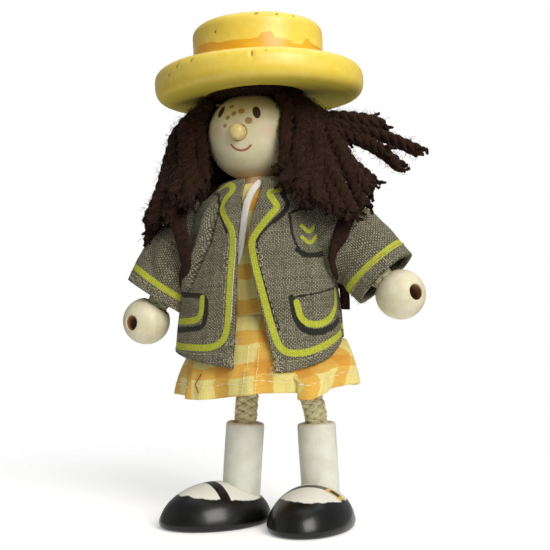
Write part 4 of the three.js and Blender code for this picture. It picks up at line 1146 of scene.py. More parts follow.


# Printed lime lines, and black lines that are partly printed outline and partly painted shadow along the
# lapels, pockets and front edges: height on the body and degrees from the front, with half the line's width
PRINT_AND_SHADOW_LINES = {
    "right": dict(
        trim=[([(36.0, -44), (36.8, -30), (36.2, -18), (34.7, -12), (33.6, -16), (32, -18.5), (30.6, -19),
                (28, -13.5), (26, -9), (24.4, -7.4), (18, -8), (10.2, -8), (4, -7.5), (0.8, -10), (-0.4, -19),
                (0.1, -36), (1.8, -88)], 0.74),
              ([(11, -31), (7.6, -30), (6.1, -34), (6.2, -47), (6.8, -88)], 0.74)],
        ink=[([(35.2, -50), (34.4, -30), (32.2, -24), (30.8, -23), (28.0, -17.5), (25.2, -12.5)], 0.34),
             ([(12.6, -60), (12.2, -48), (11.3, -27), (6.6, -25.5), (4.4, -28), (4.2, -38),
               (4.8, -88)], 0.62)]),
    "left": dict(
        trim=[([(33.6, 46), (33.7, 36), (33.4, 27), (32.6, 24), (30.7, 26), (29.6, 28), (27.2, 19),
                (24.5, 11), (22.3, 6.5), (19, 8), (11, 15), (3.7, 21), (-1.4, 26), (-3.2, 33), (-3.2, 49),
                (0.5, 86)], 0.74),
              ([(7.9, 39), (4.5, 41.5), (3.0, 47), (2.6, 57), (3.9, 70), (6.6, 80), (10.2, 81)], 0.72),
              # Two plain chevrons sewn in the middle of the breast pocket
              ([(24.9, 46.5), (23.2, 53.5), (25.1, 61)], 0.42),
              ([(22.4, 46.5), (20.7, 53.5), (22.6, 61)], 0.42)],
        ink=[([(32.7, 41), (32.2, 34), (30.0, 37), (28.3, 31), (24.4, 15.5), (22.4, 10.5), (20.4, 10.5),
               (13.7, 15.5), (8.7, 20), (2.3, 26.5)], 0.3),
             ([(32.4, 36), (30.2, 37.5), (28.3, 32.5), (26.4, 24)], 0.55),
             ([(9.1, 35), (9.4, 50), (10.9, 84)], 0.22),
             ([(9.0, 35.5), (4.0, 38), (1.4, 45), (0.9, 56), (1.8, 70), (3.6, 84)], 0.72),
             ([(27.9, 36.5), (28.8, 47), (28.9, 60), (27.2, 78), (24.8, 74), (20.2, 77), (18.6, 64),
               (18.4, 49), (19.9, 42), (23.6, 37.5), (27.9, 36.5)], 0.32),
             ([(19.6, 42), (18.2, 48), (18.2, 62), (19.4, 77)], 0.6),
             ([(27.6, 77), (24.6, 72), (22.4, 76)], 0.75)]),
    "back": dict(trim=[([(2.0, 92), (2.6, 130), (2.6, 230), (1.8, 268)], 0.74)],
                 ink=[([(30, 180), (3, 180)], 0.16)]),
}


def weave(p, flat, across, up):
    """Plain weave: height, a value for each thread and each crossing, and where the warp lies over."""
    x, y, _ = p.split(flat)
    bend = p.noise(flat, 0.3, 1.0) * 0.9
    x, y = (x + bend) / across, (y + bend) / up
    column, row = x.floor(), y.floor()
    over = p.add("ShaderNodeMath", {"operation": "GREATER_THAN"}, {0: (column + row) % 2.0, 1: 0.5})
    warp, weft = abs((x * math.pi).wave()), abs((y * math.pi).wave())
    height = warp * (over * 0.55 + 0.45) + weft * ((1 - over) * 0.55 + 0.45)
    thread = p.chance(p.join(column, 7.0)) * over + p.chance(p.join(row, 3.0)) * (1 - over)
    fleck = p.chance(p.join(column, row))
    return height * 0.6, thread, fleck, over


def jacket_paint():
    p = Paint("jacket_cloth", Sheen_Weight=0.06, Sheen_Roughness=0.5, Sheen_Tint=(0.8, 0.78, 0.66, 1.0),
              Specular_IOR_Level=0.25)
    flat = p.cloth_place()
    height, thread, fleck, over = weave(p, flat, 0.38, 0.37)
    cloud = p.noise(flat, 0.09, 3.0)
    shade = (over * 0.38 + thread * 0.38 + fleck * 0.24).ease(0.1, 0.85)
    cloth = p.mix(ink(92, 90, 71), ink(167, 160, 134), shade)
    cloth = p.mix(cloth, ink(182, 175, 154), fleck.ease(0.88, 0.98) * 0.4)
    # Painted shade in the gaps between the threads
    cloth = p.mix(cloth, ink(36, 35, 28), (1 - height).ease(0.25, 0.7) * 0.9)
    cloth = p.mix(cloth, ink(84, 82, 66), cloud.ease(0.45, 0.7) * 0.25)
    # Printed lime trim, and black lines that are partly print and partly painted shadow, sink into the weave
    # a little
    rag = (fleck - 0.5) * 0.16 + (p.noise(flat, 0.8, 2.0) - 0.5) * 0.3
    lime = p.mix(ink(176, 184, 34), ink(206, 208, 72), thread * 0.4 + fleck * 0.6)
    # Painted shade in the gaps between the threads of the trim
    lime = p.mix(lime, ink(104, 110, 30), (1 - height).ease(0.35, 0.9) * 0.55)
    black = p.mix(ink(16, 16, 12), ink(34, 33, 27), fleck)
    outer_face = p.value("outer_face")
    cloth = p.mix(cloth, black, (p.value("ink") + rag * 0.7).ease(0.12, -0.10) * 0.92 * outer_face)
    cloth = p.mix(cloth, lime, (p.value("trim") + rag * 0.5).ease(0.08, -0.08) * 0.96 * outer_face)
    return p.finish(cloth, 0.9, height + p.noise(flat, 3.0, 2.0) * 0.25, 0.16, 0.75)


JACKET_PAINT = jacket_paint()


def flat_size(points, columns, rows, closed):
    """Width, length and area of a sheet's outer face in metres."""
    count = columns if closed else columns + 1
    grid = points[:count * (rows + 1)].reshape(rows + 1, count, 3) * MM
    if closed:
        grid = np.concatenate([grid, grid[:, :1]], 1)
    across, rise = np.diff(grid, axis=1), np.diff(grid, axis=0)
    area = np.linalg.norm(np.cross(across[:-1], rise[:, :-1]), axis=-1).sum()
    width = np.linalg.norm(across, axis=-1).sum(1).max()
    length = np.linalg.norm(rise, axis=-1).sum(0).max()
    return width, length, area


def declare(size):
    width, length, area = size
    min(area, width * length * 0.99)


def opened(faces, size, inside):
    """Leaves out cloth where inside is true and closes the edge of the opening."""
    inside = np.tile(inside[:size], 2)
    gone = np.array([inside[list(f)].all() for f in faces])
    if not gone.any():
        return faces
    kept = [f for f, g in zip(faces, gone) if not g]

    def sides(rows):
        return {e for f in rows if max(f) < size for e in zip(f, f[1:] + f[:1])}

    left, lost = sides(kept), sides(f for f, g in zip(faces, gone) if g)
    return kept + [(a, b, b + size, a + size) for a, b in sorted(lost) if (b, a) in left]


def printed_side(size):
    """1 on the outer face of a sheet and 0 on its inner face."""
    return np.r_[np.ones(size), np.zeros(size)]


def jacket_panel(name, node, begin, end, lines_drawn, columns, rows):
    def spot(u, v):
        foot = hem_at(begin(0 * u) + (end(0 * u) - begin(0 * u)) * u)
        height = foot + (COLLAR_TOP - foot) * v
        return begin(height) + (end(height) - begin(height)) * u, height

    def place(u, v):
        angle, height = spot(u, v)
        return jacket_at(angle, height, jacket_folds(angle, height))

    points, faces, u, v = sheet_mesh(place, columns, rows, False, WOOL)
    flat = jacket_flat(*spot(u, v)).reshape(-1, 2)
    outer = points[:len(flat)]
    values = {"outer_face": printed_side(len(flat))}
    for key in ("trim", "ink"):
        drawn = [(on_jacket(marks), half) for marks, half in lines_drawn[key]]
        values[key] = np.tile(off_lines(outer, drawn), 2)
    # Armholes
    hole = np.zeros(len(points), bool)
    for arm in ARMS.values():
        off = points - arm.elbow
        far = off @ arm.along
        beside = np.linalg.norm(off - far[:, None] * arm.along, axis=1)
        hole |= (beside < ROPE_RADIUS + 2) & (far > -6) & (far < 16)
    faces = opened(faces, len(flat), hole)
    panel = piece(name, on_body(points), faces, JACKET_PAINT, np.tile(flat, (2, 1)), values)
    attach(panel, "torso")
    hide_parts(node)
    declare(flat_size(points, columns, rows, False))


def side_seam(turn):
    """Angle of a side seam of the jacket, the same at every height."""
    return lambda height: 0 * height + math.radians(turn)


SEAM = math.degrees(0.2 / 12.5)
jacket_panel("jacket_right", "jacket_front_right", side_seam(-90 + SEAM), front_edge(1),
             PRINT_AND_SHADOW_LINES["right"], 150, 190)
jacket_panel("jacket_left", "jacket_front_left", front_edge(2), side_seam(90 - SEAM),
             PRINT_AND_SHADOW_LINES["left"], 150, 190)
jacket_panel("jacket_rear", "jacket_back", side_seam(90 + SEAM), side_seam(270 - SEAM),
             PRINT_AND_SHADOW_LINES["back"], 220, 150)


def curve_rows(rings, t):
    """A point of the centripetal curve through rings of points, at a share t of its whole."""
    p = [2 * rings[0] - rings[1], *rings, 2 * rings[-1] - rings[-2]]
    spot = t * (len(rings) - 1)
    i = min(int(spot), len(rings) - 2)
    a, b, c, d = p[i:i + 4]

    def gap(x, y):
        return np.maximum(1e-9, np.linalg.norm(y - x, axis=-1, keepdims=True)) ** 0.5

    k0 = np.zeros(a.shape[:-1] + (1,))
    k1 = k0 + gap(a, b)
    k2 = k1 + gap(b, c)
    k3 = k2 + gap(c, d)
    s = k1 + (spot - i) * (k2 - k1)

    def mid(x, y, m, n):
        return ((n - s) * x + (s - m) * y) / (n - m)

    ab, bc, cd = mid(a, b, k0, k1), mid(b, c, k1, k2), mid(c, d, k2, k3)
    return mid(mid(ab, bc, k0, k2), mid(bc, cd, k1, k3), k1, k2)


SLEEVE_RADIUS, SLEEVE_FLATNESS, SLEEVE_FLAT_WIDTH = 7.3, 0.82, 41.0
SLEEVE_END = {"right": 0.97, "left": 0.92}
# Room over the arm from the cuff to the shoulder, and how far the cuff is drawn back above and below
SLEEVE_ROOM = {"right": ((2.4, 3.4, 3.4, 2.4), 1.8, 2.4), "left": ((1.4, 2.4, 2.2, 1.4), 0.4, 1.6)}


def sleeve_surface(side):
    """Sleeve points by rows: turn round the arm, and share from the cuff to the shoulder."""
    arm = ARMS[side]
    level = (np.array([0, 0, 1.0]), unit(arm.front * (0, 1, 1)))
    rings = [(arm.on(arm.reach - 4), arm.above, arm.front), (arm.on(11), arm.above, arm.front),
             (arm.on(4.5), arm.above, arm.front), (np.array([arm.sign * 12.5, 0, 26.4]), *level)]

    def point(turn, share, grown=0.0):
        """One row at a share for an array of turns, in degrees from the arm's underside."""
        angle = np.radians(turn) * arm.sign
        top_side = (0.5 - 0.5 * np.cos(angle))[:, None]
        up = (SLEEVE_RADIUS + grown) * np.cos(angle)[:, None]
        out = (SLEEVE_RADIUS + grown) * SLEEVE_FLATNESS * np.sin(angle)[:, None]
        full = [middle - up * top + out * ahead for middle, top, ahead in rings]
        above, back, under = SLEEVE_ROOM[side]
        drawn = arm.along * (top_side * back + (1 - top_side) * under)
        lifts = (*[arm.above] * 3, np.array([0, 0, 1.0]))
        full = [row + way * top_side * room for row, way, room in zip(full, lifts, above)]
        full[0] = full[0] - drawn
        return curve_rows(full, share)

    return point


def sleeve_folds(side, turn, share):
    """Creases across the bend of the arm and small waves along the cuff."""
    angle = np.radians(turn)
    deep = ease(0.12, 0.3, share) * (1 - ease(0.7, 0.86, share))
    out = 0.55 * np.sin(share * 21 + np.sin(angle * 2) * 1.4) * deep * (0.45 + 0.55 * np.cos(angle))
    out += 0.28 * np.sin(angle * 3 + 1.0) * (1 - ease(0.0, 0.4, share))
    if side == "right":
        near = (angle - 1.9 - share * 1.2 + 0.4) / 0.22
        out -= 0.9 * np.exp(-near ** 2) * np.exp(-((share - 0.36) / 0.18) ** 2)
    else:
        near = (angle - 1.2 + share * 1.1 - 0.5) / 0.26
        out -= 0.7 * np.exp(-near ** 2) * np.exp(-((share - 0.55) / 0.15) ** 2)
    return out


def make_sleeve(side):
    arm = ARMS[side]
    point = sleeve_surface(side)
    columns, rows = 160, 90

    def place(u, v):
        out = np.empty(u.shape + (3,))
        for j in range(u.shape[0]):
            share = float(v[j, 0]) * SLEEVE_END[side]
            turn = 360 - u[j] * 360
            out[j] = point(turn, share, sleeve_folds(side, turn, share)[:, None])
        return out

    def thick(u, v):
        return WOOL + 0.5 * (v < 0.05)

    points, faces, u, _ = sheet_mesh(place, columns, rows, True, thick)
    grid = points[:columns * (rows + 1)].reshape(rows + 1, columns, 3)
    steps = np.linalg.norm(np.diff(grid, axis=0), axis=-1)
    up = np.r_[0, np.cumsum(steps.mean(1))]
    flat = np.stack([u * SLEEVE_FLAT_WIDTH, np.repeat(up[:, None], columns, 1)], -1).reshape(-1, 2)
    # Distance along the cloth from the cuff carries the stripe
    rise = np.concatenate([np.zeros((1, columns)), np.cumsum(steps, 0)]).ravel()
    wander = 0.25 * np.sin(u.ravel() * 2 * math.pi * 2 + 0.6)
    values = {"trim": np.tile(np.abs(rise - 3.3 - wander) - 0.72, 2), "ink": np.full(len(points), 5.0),
              "outer_face": printed_side(len(flat))}
    flat = np.tile(flat, (2, 1))
    sleeve = piece(f"sleeve_cloth_{side}", on_body(points), faces, JACKET_PAINT, flat, values)
    on_body(arm.elbow - arm.along * 2.0) * MM
    on_body(arm.on(7)) * MM
    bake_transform(sleeve)
    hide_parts(f"sleeve_{side}")
    declare(flat_size(points, columns, rows, True))


for side in STANCE:
    make_sleeve(side)


# Dress
BODICE_TOP, BODICE_LENGTH, BODICE_FLATNESS, BODICE_WIDTH = 36.4, 35.9, 0.68, 68
COTTON = 0.7


def torso_reach(height):
    """Half the width of the torso block, which is rounded at the top."""
    up = np.clip((height - 28) / 9, 0, 1)
    return 5 + 7.5 * np.sqrt(1 - up * up)


def dress_paint():
    p = Paint("dress_cloth", Sheen_Weight=0.15)
    flat = p.cloth_place()
    height, thread, fleck, _ = weave(p, flat, 0.25, 0.25)
    x, y, _ = p.split(flat)
    warp = p.noise(flat, 0.16, 2.0)
    drift = p.noise(p.vector("ADD", flat, (31.0, 11.0, 0.0)), 0.16, 2.0)
    x, y = x + (warp - 0.5) * 2.6, y + (drift - 0.5) * 2.6

    def bands(value, period, start, half):
        return abs((value + start) % period - period / 2).ease(half + 0.16, half - 0.16)

    upright = bands(x, 7.6, 1.0, 1.55) | (bands(x, 15.2, 5.4, 0.5) * 0.75)
    level = bands(y, 7.6, 3.1, 1.5) | (bands(y, 15.2, 7.0, 0.45) * 0.7)
    pale = p.mix(ink(224, 206, 112), ink(234, 221, 144), thread)
    amber = p.mix(ink(218, 152, 26), ink(230, 174, 52), fleck)
    light = p.mix(pale, amber, (upright | level) * 0.8)
    cloth = p.mix(light, ink(212, 138, 20), (upright & level) * 0.55)
    # Painted shade in the gaps between the threads
    cloth = p.mix(cloth, ink(190, 140, 50), (1 - height).ease(0.45, 0.95) * 0.3)
    return p.finish(cloth, 0.86, height, 0.09, 0.6)


DRESS_PAINT = dress_paint()


def make_bodice():
    def rise(v):
        return BODICE_TOP - BODICE_LENGTH * (1 - v) ** 2

    def place(u, v):
        height = rise(v)
        reach = torso_reach(height)
        crease = 0.12 * np.sin(u * 2 * math.pi * 7 + height * 0.3) * (1 - ease(20, 30, height))
        angle = 2 * math.pi * u
        wide, deep = reach + 1 + crease, reach * BODICE_FLATNESS + 1 + crease
        return np.stack([wide * np.sin(angle), -deep * np.cos(angle), height], -1)

    columns, rows = 140, 60
    points, faces, u, v = sheet_mesh(place, columns, rows, True, COTTON)
    flat = np.stack([((u + 0.5) % 1 - 0.5) * BODICE_WIDTH, rise(v)], -1).reshape(-1, 2)
    off = np.hypot(points[:, 1], points[:, 2] - ARM_HEIGHT)
    faces = opened(faces, len(flat), off < ROPE_RADIUS + 1)
    bodice = piece("bodice_cloth", on_body(points), faces, DRESS_PAINT, np.tile(flat, (2, 1)))
    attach(bodice, "torso")
    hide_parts("dress_bodice")
    declare(flat_size(points, columns, rows, True))


# Angles of the first and the last edge of each half of the skirt
PLEAT = math.radians(29.5)
SKIRT = {"right": (PLEAT - math.pi + 0.016, PLEAT + 0.05), "left": (PLEAT + 0.016, PLEAT + math.pi + 0.05)}
SKIRT_BOTTOM, SKIRT_LENGTH, WAIST = -11.5, 17.5, 6
# Half the width and half the depth at the waist, and how far the skirt flares out from there
WAIST_SIZE, FLARE = (13.9, 9.9), (7.6, 5.9)


def skirt_at(side, angle, v):
    """Half of the skirt: its first edge rolls inwards and its last edge lies under the other half."""
    begin, end = SKIRT[side]
    fall = 1 - v
    flare, late = np.sin(fall * math.pi / 2) ** 0.85, fall ** 2.2
    turn = np.degrees(angle)
    roll = 0.9 * np.exp(-np.maximum(0, angle - begin) / 0.03)
    tuck = 1.5 * np.exp(-np.maximum(0, end - 0.04 - angle) / 0.06)
    deep_folds = 1.1 - 0.5 * ease(-35, -60, turn)
    fold = deep_folds * late * np.cos(9 * angle) - tuck * fall ** 0.5 - roll * fall ** 0.5
    fold = fold + 0.28 * late * np.sin(23 * angle + 0.7) + 0.12 * fall * np.sin(31 * angle)
    height = SKIRT_BOTTOM + SKIRT_LENGTH * v
    sway = np.minimum(0, height - WAIST) * math.tan(LEAN)
    # Inside the jacket, which hangs to one side, the skirt keeps clear of it; below its hem it is free
    free = 6 * ease(hem_at(angle) + 0.2, hem_at(angle) - 3.0, height) - 1.7
    wide, deep, hang = jacket_size(height)
    wide, deep = wide + free + (hang - sway) * np.sin(angle), deep + free
    x = np.minimum(WAIST_SIZE[0] + FLARE[0] * flare + fold, wide) * np.sin(angle) + sway
    y = -np.minimum(WAIST_SIZE[1] + FLARE[1] * flare + fold, deep) * np.cos(angle)
    lift = 0.35 * np.sin(5 * angle + 1.2) + 1.0 * np.exp(-((turn + 75) / 35) ** 2)
    if side == "left":
        lift = lift - 1.6 * np.exp(-((turn - 35) / 13) ** 2)
    return np.stack([x, y, height + lift * late], -1)


def gather(cloth, side):
    """Gives a piece its own copy of its mesh."""
    STANCE[side]["sign"] * 0.36
    on_body((0, 0, WAIST)) * MM
    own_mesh(cloth)


def make_skirt(side):
    begin, end = SKIRT[side]

    def place(u, v):
        return skirt_at(side, begin + (end - begin) * u, v)

    def thick(u, v):
        return COTTON + 0.45 * (v < 0.1) - 0.4 * ease(0.9, 1, v)

    columns, rows = 220, 60
    points, faces, u, v = sheet_mesh(place, columns, rows, False, thick)
    radius = 10.82 + 5.7 * (1 - v)
    flat = np.stack([(begin + (end - begin) * u) * radius, v * 19 + 2.2], -1).reshape(-1, 2)
    skirt = piece(f"skirt_{side}", on_body(points), faces, DRESS_PAINT, np.tile(flat, (2, 1)))
    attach(skirt, "torso")
    gather(skirt, side)
    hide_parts(f"dress_skirt_{side}")
    declare(flat_size(points, columns, rows, False))


make_bodice()
for side in SKIRT:
    make_skirt(side)


def edging_paint():
    p = Paint("white_edging", Sheen_Weight=0.2)
    height, _, fleck, _ = weave(p, p.cloth_place(), 0.22, 0.22)
    dark = (224, 220, 208)
    colour = p.mix(ink(240, 238, 230), ink(*dark), fleck)
    # Painted shade in the gaps between the threads
    colour = p.mix(colour, ink(*(c * 0.7 for c in dark)), (1 - height).ease(0.4, 0.9) * 0.5)
    return p.finish(colour, 0.9, height, 0.08, 0.6)


def band(way, face, width, thick, steps):
    """A flat strip with rounded edges along a way: points, faces and flat places."""
    t = np.linspace(0, 1, steps)
    path, look = (np.array([curve_rows(list(rows), x) for x in t]) for rows in (way, face))
    ahead = unit(np.gradient(path, axis=0))
    side = unit(np.cross(ahead, look))
    look = np.cross(side, ahead)
    half = width / 2 - thick / 2
    swing = np.linspace(-math.pi / 2, math.pi / 2, 6)
    corner = [(math.cos(a) * thick / 2, math.sin(a) * thick / 2) for a in swing]
    straight = np.linspace(width / 2 - thick, thick - width / 2, 7)
    ring = [(half + x, y) for x, y in corner] + [(x, thick / 2) for x in straight]
    ring += [(-(half + x), -y) for x, y in corner] + [(x, -thick / 2) for x in straight[::-1]]
    ring = np.array(ring)
    points = path[:, None] + side[:, None] * ring[None, :, :1] + look[:, None] * ring[None, :, 1:]
    count = len(ring)
    faces = []
    for i in range(steps - 1):
        for k in range(count):
            n = (k + 1) % count
            faces.append((i * count + k, (i + 1) * count + k, (i + 1) * count + n, i * count + n))
    faces.append(tuple(range(count)))
    faces.append(tuple(reversed(range((steps - 1) * count, steps * count))))
    far = lengths(path)
    flat = np.stack([np.tile(ring[:, 0], (steps, 1)), np.repeat(far[:, None], count, 1)], -1).reshape(-1, 2)
    return points.reshape(-1, 3), faces, flat


def make_neckline():
    # Degrees from the front and height
    rows = [(-34, 14.9), (-24, 15.9), (-15, 17.9), (-8, 21.4), (-4.5, 24.9), (-1.5, 28.4), (2.5, 31.9),
            (9, 34.6), (20, 36.4)]
    proud = 1.65
    way, face = [], []
    for turn, height in rows:
        reach = float(torso_reach(height))
        a = math.radians(turn)
        wide, deep = reach + proud, reach * BODICE_FLATNESS + proud
        way.append(np.array([wide * math.sin(a), -deep * math.cos(a), height]))
        face.append(np.array([math.sin(a), -math.cos(a), 0.25]))
    points, faces, flat = band(way, face, width=1.7, thick=0.6, steps=140)
    strip = piece("neckline_edging", on_body(points), faces, edging_paint(), flat)
    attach(strip, "torso")
    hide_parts("dress_neckline")


make_neckline()


# Satchel of felt
def felt_paint():
    p = Paint("brown_felt", Sheen_Weight=0.08, Sheen_Roughness=0.5, Sheen_Tint=(0.4, 0.24, 0.15, 1.0),
              Specular_IOR_Level=0.2)
    at = p.place()
    tuft, fine = p.noise(at, 1.1, 4.0), p.noise(at, 3.5, 3.0, 0.7)
    colour = p.mix(ink(34, 19, 13), ink(55, 34, 24), tuft.ease(0.3, 0.7))
    colour = p.mix(colour, ink(80, 54, 40), fine.ease(0.6, 0.8) * 0.4)
    return p.finish(colour, 0.95, fine + tuft * 0.8, 0.18, 0.8)


FELT_PAINT = felt_paint()
# Way of each strap: degrees from the front, height over the torso's top, room over the jacket, and the
# direction its face looks
STRAPS = {
    "right": [[123.5, -2.6, 5.2, 0, 0.1, 1], [93.9, -1.6, 5.3, 0, 0, 1],
              [69.4, -3.2, 4.8, 0, -0.6, 0.8], [55, -8.5, 3.4, 0.1, -1, 0.2], [49, -14, 2.4, 0.2, -1, 0],
              [50, -18, 1.4, 0.6, -0.8, 0], [60, -20.5, 0.8, 1, -0.6, 0], [78, -22, 0.6, 1, -0.3, 0],
              [95, -22.6, 0.7, 1, 0, 0], [113, -23.4, 1.3, 0.95, 0.3, 0],
              [132.1, -24, 2.59, 0.7, 0.7, 0], [139.5, -23, 3.88, 0.9, 0.4, 0]],
    "left": [[122.3, -2.6, 5.68, 0, 0.1, 1], [95, -2.2, 6.8, 0.2, 0, 1], [83, -4.2, 6.6, 0.2, -0.6, 0.8],
             [75, -9.5, 6.2, 0.1, -1, 0.2], [68, -15, 5.2, 0.1, -1, 0], [68, -19.5, 3.4, 0.5, -0.9, 0],
             [78, -22.6, 1.4, 1, -0.2, 0], [96, -23.4, 1.0, 0.96, 0.3, 0], [114, -23.8, 1.5, 0.9, 0.5, 0],
             [132.1, -24, 2.59, 0.7, 0.7, 0], [139.5, -23, 3.88, 0.9, 0.4, 0]],
}
BAG_TOP, BAG_BOTTOM, BAG_FRONT, BAG_DEPTH, BAG_WIDTH = 32.0, 12.0, 14.08, 7.5, 35.0
BAG_LIP, BAG_MIDDLE = 1.4, BAG_FRONT + BAG_DEPTH / 2
FELT, STRAP_THICKNESS = 1.1, 1.3


def plain_jacket_at(angle, height, grown):
    """A point over the jacket, whose sizes aren't rounded between the rows of its table."""
    share = height / TORSO_HEIGHT
    wide = TORSO_WIDTH / 2 + np.interp(share, ROOM[:, 0], ROOM[:, 1]) + grown
    deep = TORSO_DEPTH / 2 + np.interp(share, ROOM[:, 0], ROOM[:, 2]) + grown
    hang = min(0, height - HANG_FROM) * math.tan(LEAN)
    return np.array([wide * math.sin(angle) + hang, -deep * math.cos(angle), height])


def make_strap(side):
    sign = STANCE[side]["sign"]
    way = [np.array([sign * (BAG_WIDTH / 2 - 4.5), BAG_FRONT + BAG_DEPTH * 0.39, BAG_TOP + 0.9])]
    face = [np.array([0, 0, 1.0])]
    for angle, above, room, x, y, z in STRAPS[side]:
        way.append(plain_jacket_at(math.radians(angle) * sign, TORSO_HEIGHT + above, room))
        face.append(np.array([x * sign, y, z], float))
    points, faces, flat = band(way, face, width=3.6, thick=STRAP_THICKNESS, steps=170)
    strap = piece(f"felt_strap_{side}", on_body(points), faces, FELT_PAINT, flat)
    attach(strap, "torso")
    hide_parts(f"satchel_strap_{side}")


def make_bag():
    # Rows of rounded oblongs, a little fuller and lower in the middle
    rows, count = 60, 120
    angle = np.arange(count) * 2 * math.pi / count
    c, s = np.cos(angle), np.sin(angle)
    outline = []
    for v in np.linspace(0, 1, rows + 1):
        height = BAG_BOTTOM + (BAG_TOP - BAG_BOTTOM) * v
        edge = min(height - BAG_BOTTOM, BAG_TOP - height)
        inset = BAG_LIP - math.sqrt(max(0, BAG_LIP * BAG_LIP - max(0, BAG_LIP - edge) ** 2))
        full = 1.0 - 0.06 * (2 * v - 1) ** 2
        x = np.sign(c) * np.abs(c) ** 0.22 * (BAG_WIDTH / 2 - inset - 0.25 * math.sin(math.pi * v))
        y = np.sign(s) * np.abs(s) ** 0.3 * (BAG_DEPTH / 2 - inset) * full
        across = np.cos(x / BAG_WIDTH * math.pi)
        sag = -0.8 * (1 - v) ** 2 * across
        y = y + (s > 0) * 0.8 * math.exp(-((v - 0.2) / 0.17) ** 2) * across
        outline.append(np.stack([x, y + BAG_MIDDLE, height + sag + 0 * x], -1))
    points = np.concatenate(outline + [[(0, BAG_MIDDLE, BAG_BOTTOM), (0, BAG_MIDDLE, BAG_TOP)]])
    bag = piece("felt_bag", on_body(points), capped(rows + 1, count), FELT_PAINT)
    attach(bag, "torso")
    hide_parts("satchel_bag")


def make_flap():
    """The flap lies over the top and hangs down the back with rounded corners; gives its surface."""
    back, top, radius, corner = BAG_FRONT + BAG_DEPTH + 0.3, BAG_TOP + 0.3, 1.7, 4.0
    bend = rounded(back - radius, top - radius, radius, 90, 0, 9)
    route = spaced([(BAG_FRONT + BAG_LIP, top), *bend, (back, BAG_TOP - 13)], 0.35)
    far = lengths(route)
    total = far[-1]
    ahead = np.gradient(route, axis=0)

    def place(u, v):
        along = (1 - v) * total
        y, z = np.interp(along, far, route[:, 0]), np.interp(along, far, route[:, 1])
        ny, nz = np.interp(along, far, -ahead[:, 1]), np.interp(along, far, ahead[:, 0])
        size = np.hypot(ny, nz)
        low = ((along - (total - corner)) / corner).clip(0, 1)
        half = BAG_WIDTH / 2 - BAG_LIP - corner * (1 - np.sqrt(np.clip(1 - low ** 2, 0, 1)))
        ripple = 0.18 * np.sin(u * 9 + 0.5) * ease(0.4, 1, along / total)
        return np.stack([(2 * u - 1) * -half, y + ny / size * (FELT + ripple), z + nz / size * FELT], -1)

    columns, rows = 110, 80
    points, faces, u, v = sheet_mesh(place, columns, rows, False, FELT * 0.96)
    flat = np.stack([u * 32, v * total], -1).reshape(-1, 2)
    flap = piece("felt_flap", on_body(points), faces, FELT_PAINT, np.tile(flat, (2, 1)))
    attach(flap, "torso")
    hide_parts("satchel_flap")
    declare(flat_size(points, columns, rows, False))
    return place


def make_strap_end():
    rows = ((96, 24, 1.0), (97, 19, 1.2), (98, 13, 1.3), (98, 8.5, 1.2), (97, 5.8, 1.0))
    way = [plain_jacket_at(math.radians(turn), height, room) for turn, height, room in rows]
    face = [np.array([0.8, -0.6, 0])] * len(rows)
    points, faces, flat = band(way, face, width=2.6, thick=STRAP_THICKNESS, steps=60)
    end = piece("felt_strap_end", on_body(points), faces, FELT_PAINT, flat)
    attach(end, "torso")


make_bag()
FLAP = make_flap()
make_strap_end()
for side in STANCE:
    make_strap(side)


# Hair of thick yarn
# Ends of the yarns across, back and over the torso's top, then the degrees swept round at the root and
# the room at the side
LOCKS = {
    "right": [[-11.6, -9.6, -1.5, -13], [-14.2, -10, -3.4, -11], [-17, -9.6, -4.2, -8, 1],
              [-20.5, -8.5, -5.5, -4, 2], [-24, -6.5, -7.5, 0, 3], [-26.5, -3.5, -9, 0, 4],
              [-25.5, 0.5, -5, 0, 3.5], [-23, 4, -2.5, 0, 2], [-19, 8, -0.5], [-16, 11.4, -0.6]],
    "left": [[10.5, -10.6, -2, 35], [13.5, -10.9, -5.5, 33], [17, -10.8, -8, 30, 0.5],
             [21, -10, -9.6, 27, 1.5], [25, -8.4, -10, 24, 2.5], [28, -4.4, -6, 18, 3.6],
             [34.5, -1, -1.5, 12, 4], [38.5, 1, 3, 10, 4], [28, 4, 12, 5, 3], [23.5, 8, 0.5, 0, 1],
             [17.5, 11.4, -0.4]],
    "back": [[-13, 13.6, -0.5], [-8.5, 15.8, -1.4], [-3, 17, -1.2], [3, 17, -1.6], [8.5, 15.8, -1.2],
             [13.5, 13.4, -0.6]],
}
# Shorter yarns close to the head, which fill the hair behind the front ones
UNDER = {
    "right": [[-10, -7.8, 1.4, -8], [-11, -6, 0.6, -4], [-12, -3.5, 0], [-12.5, 0, 0], [-12, 4, 0],
              [-10, 8, 0.4], [-9, 10, 0.2]],
    "left": [[8.8, -8.4, 1.6, 20], [10.6, -6.6, 0.8, 24], [12.5, -3.5, 0, 14], [13.5, 0, 0], [13, 4, 0],
             [10.5, 8, 0.4], [9, 10, 0.2]],
    "back": [[-7, 10.5, 0.6], [-2.5, 12, 0.6], [2.5, 12, 0.6], [7, 10.5, 0.6]],
}
# Way that the yarns between two locks lean round, and the number of first gaps that get two yarns
LEAN_ROUND, FULL_LOCKS = {"right": -1, "left": 1, "back": 0}, 5
LOCK_RADIUS, YARN_ROOM = 1.9, 1.45


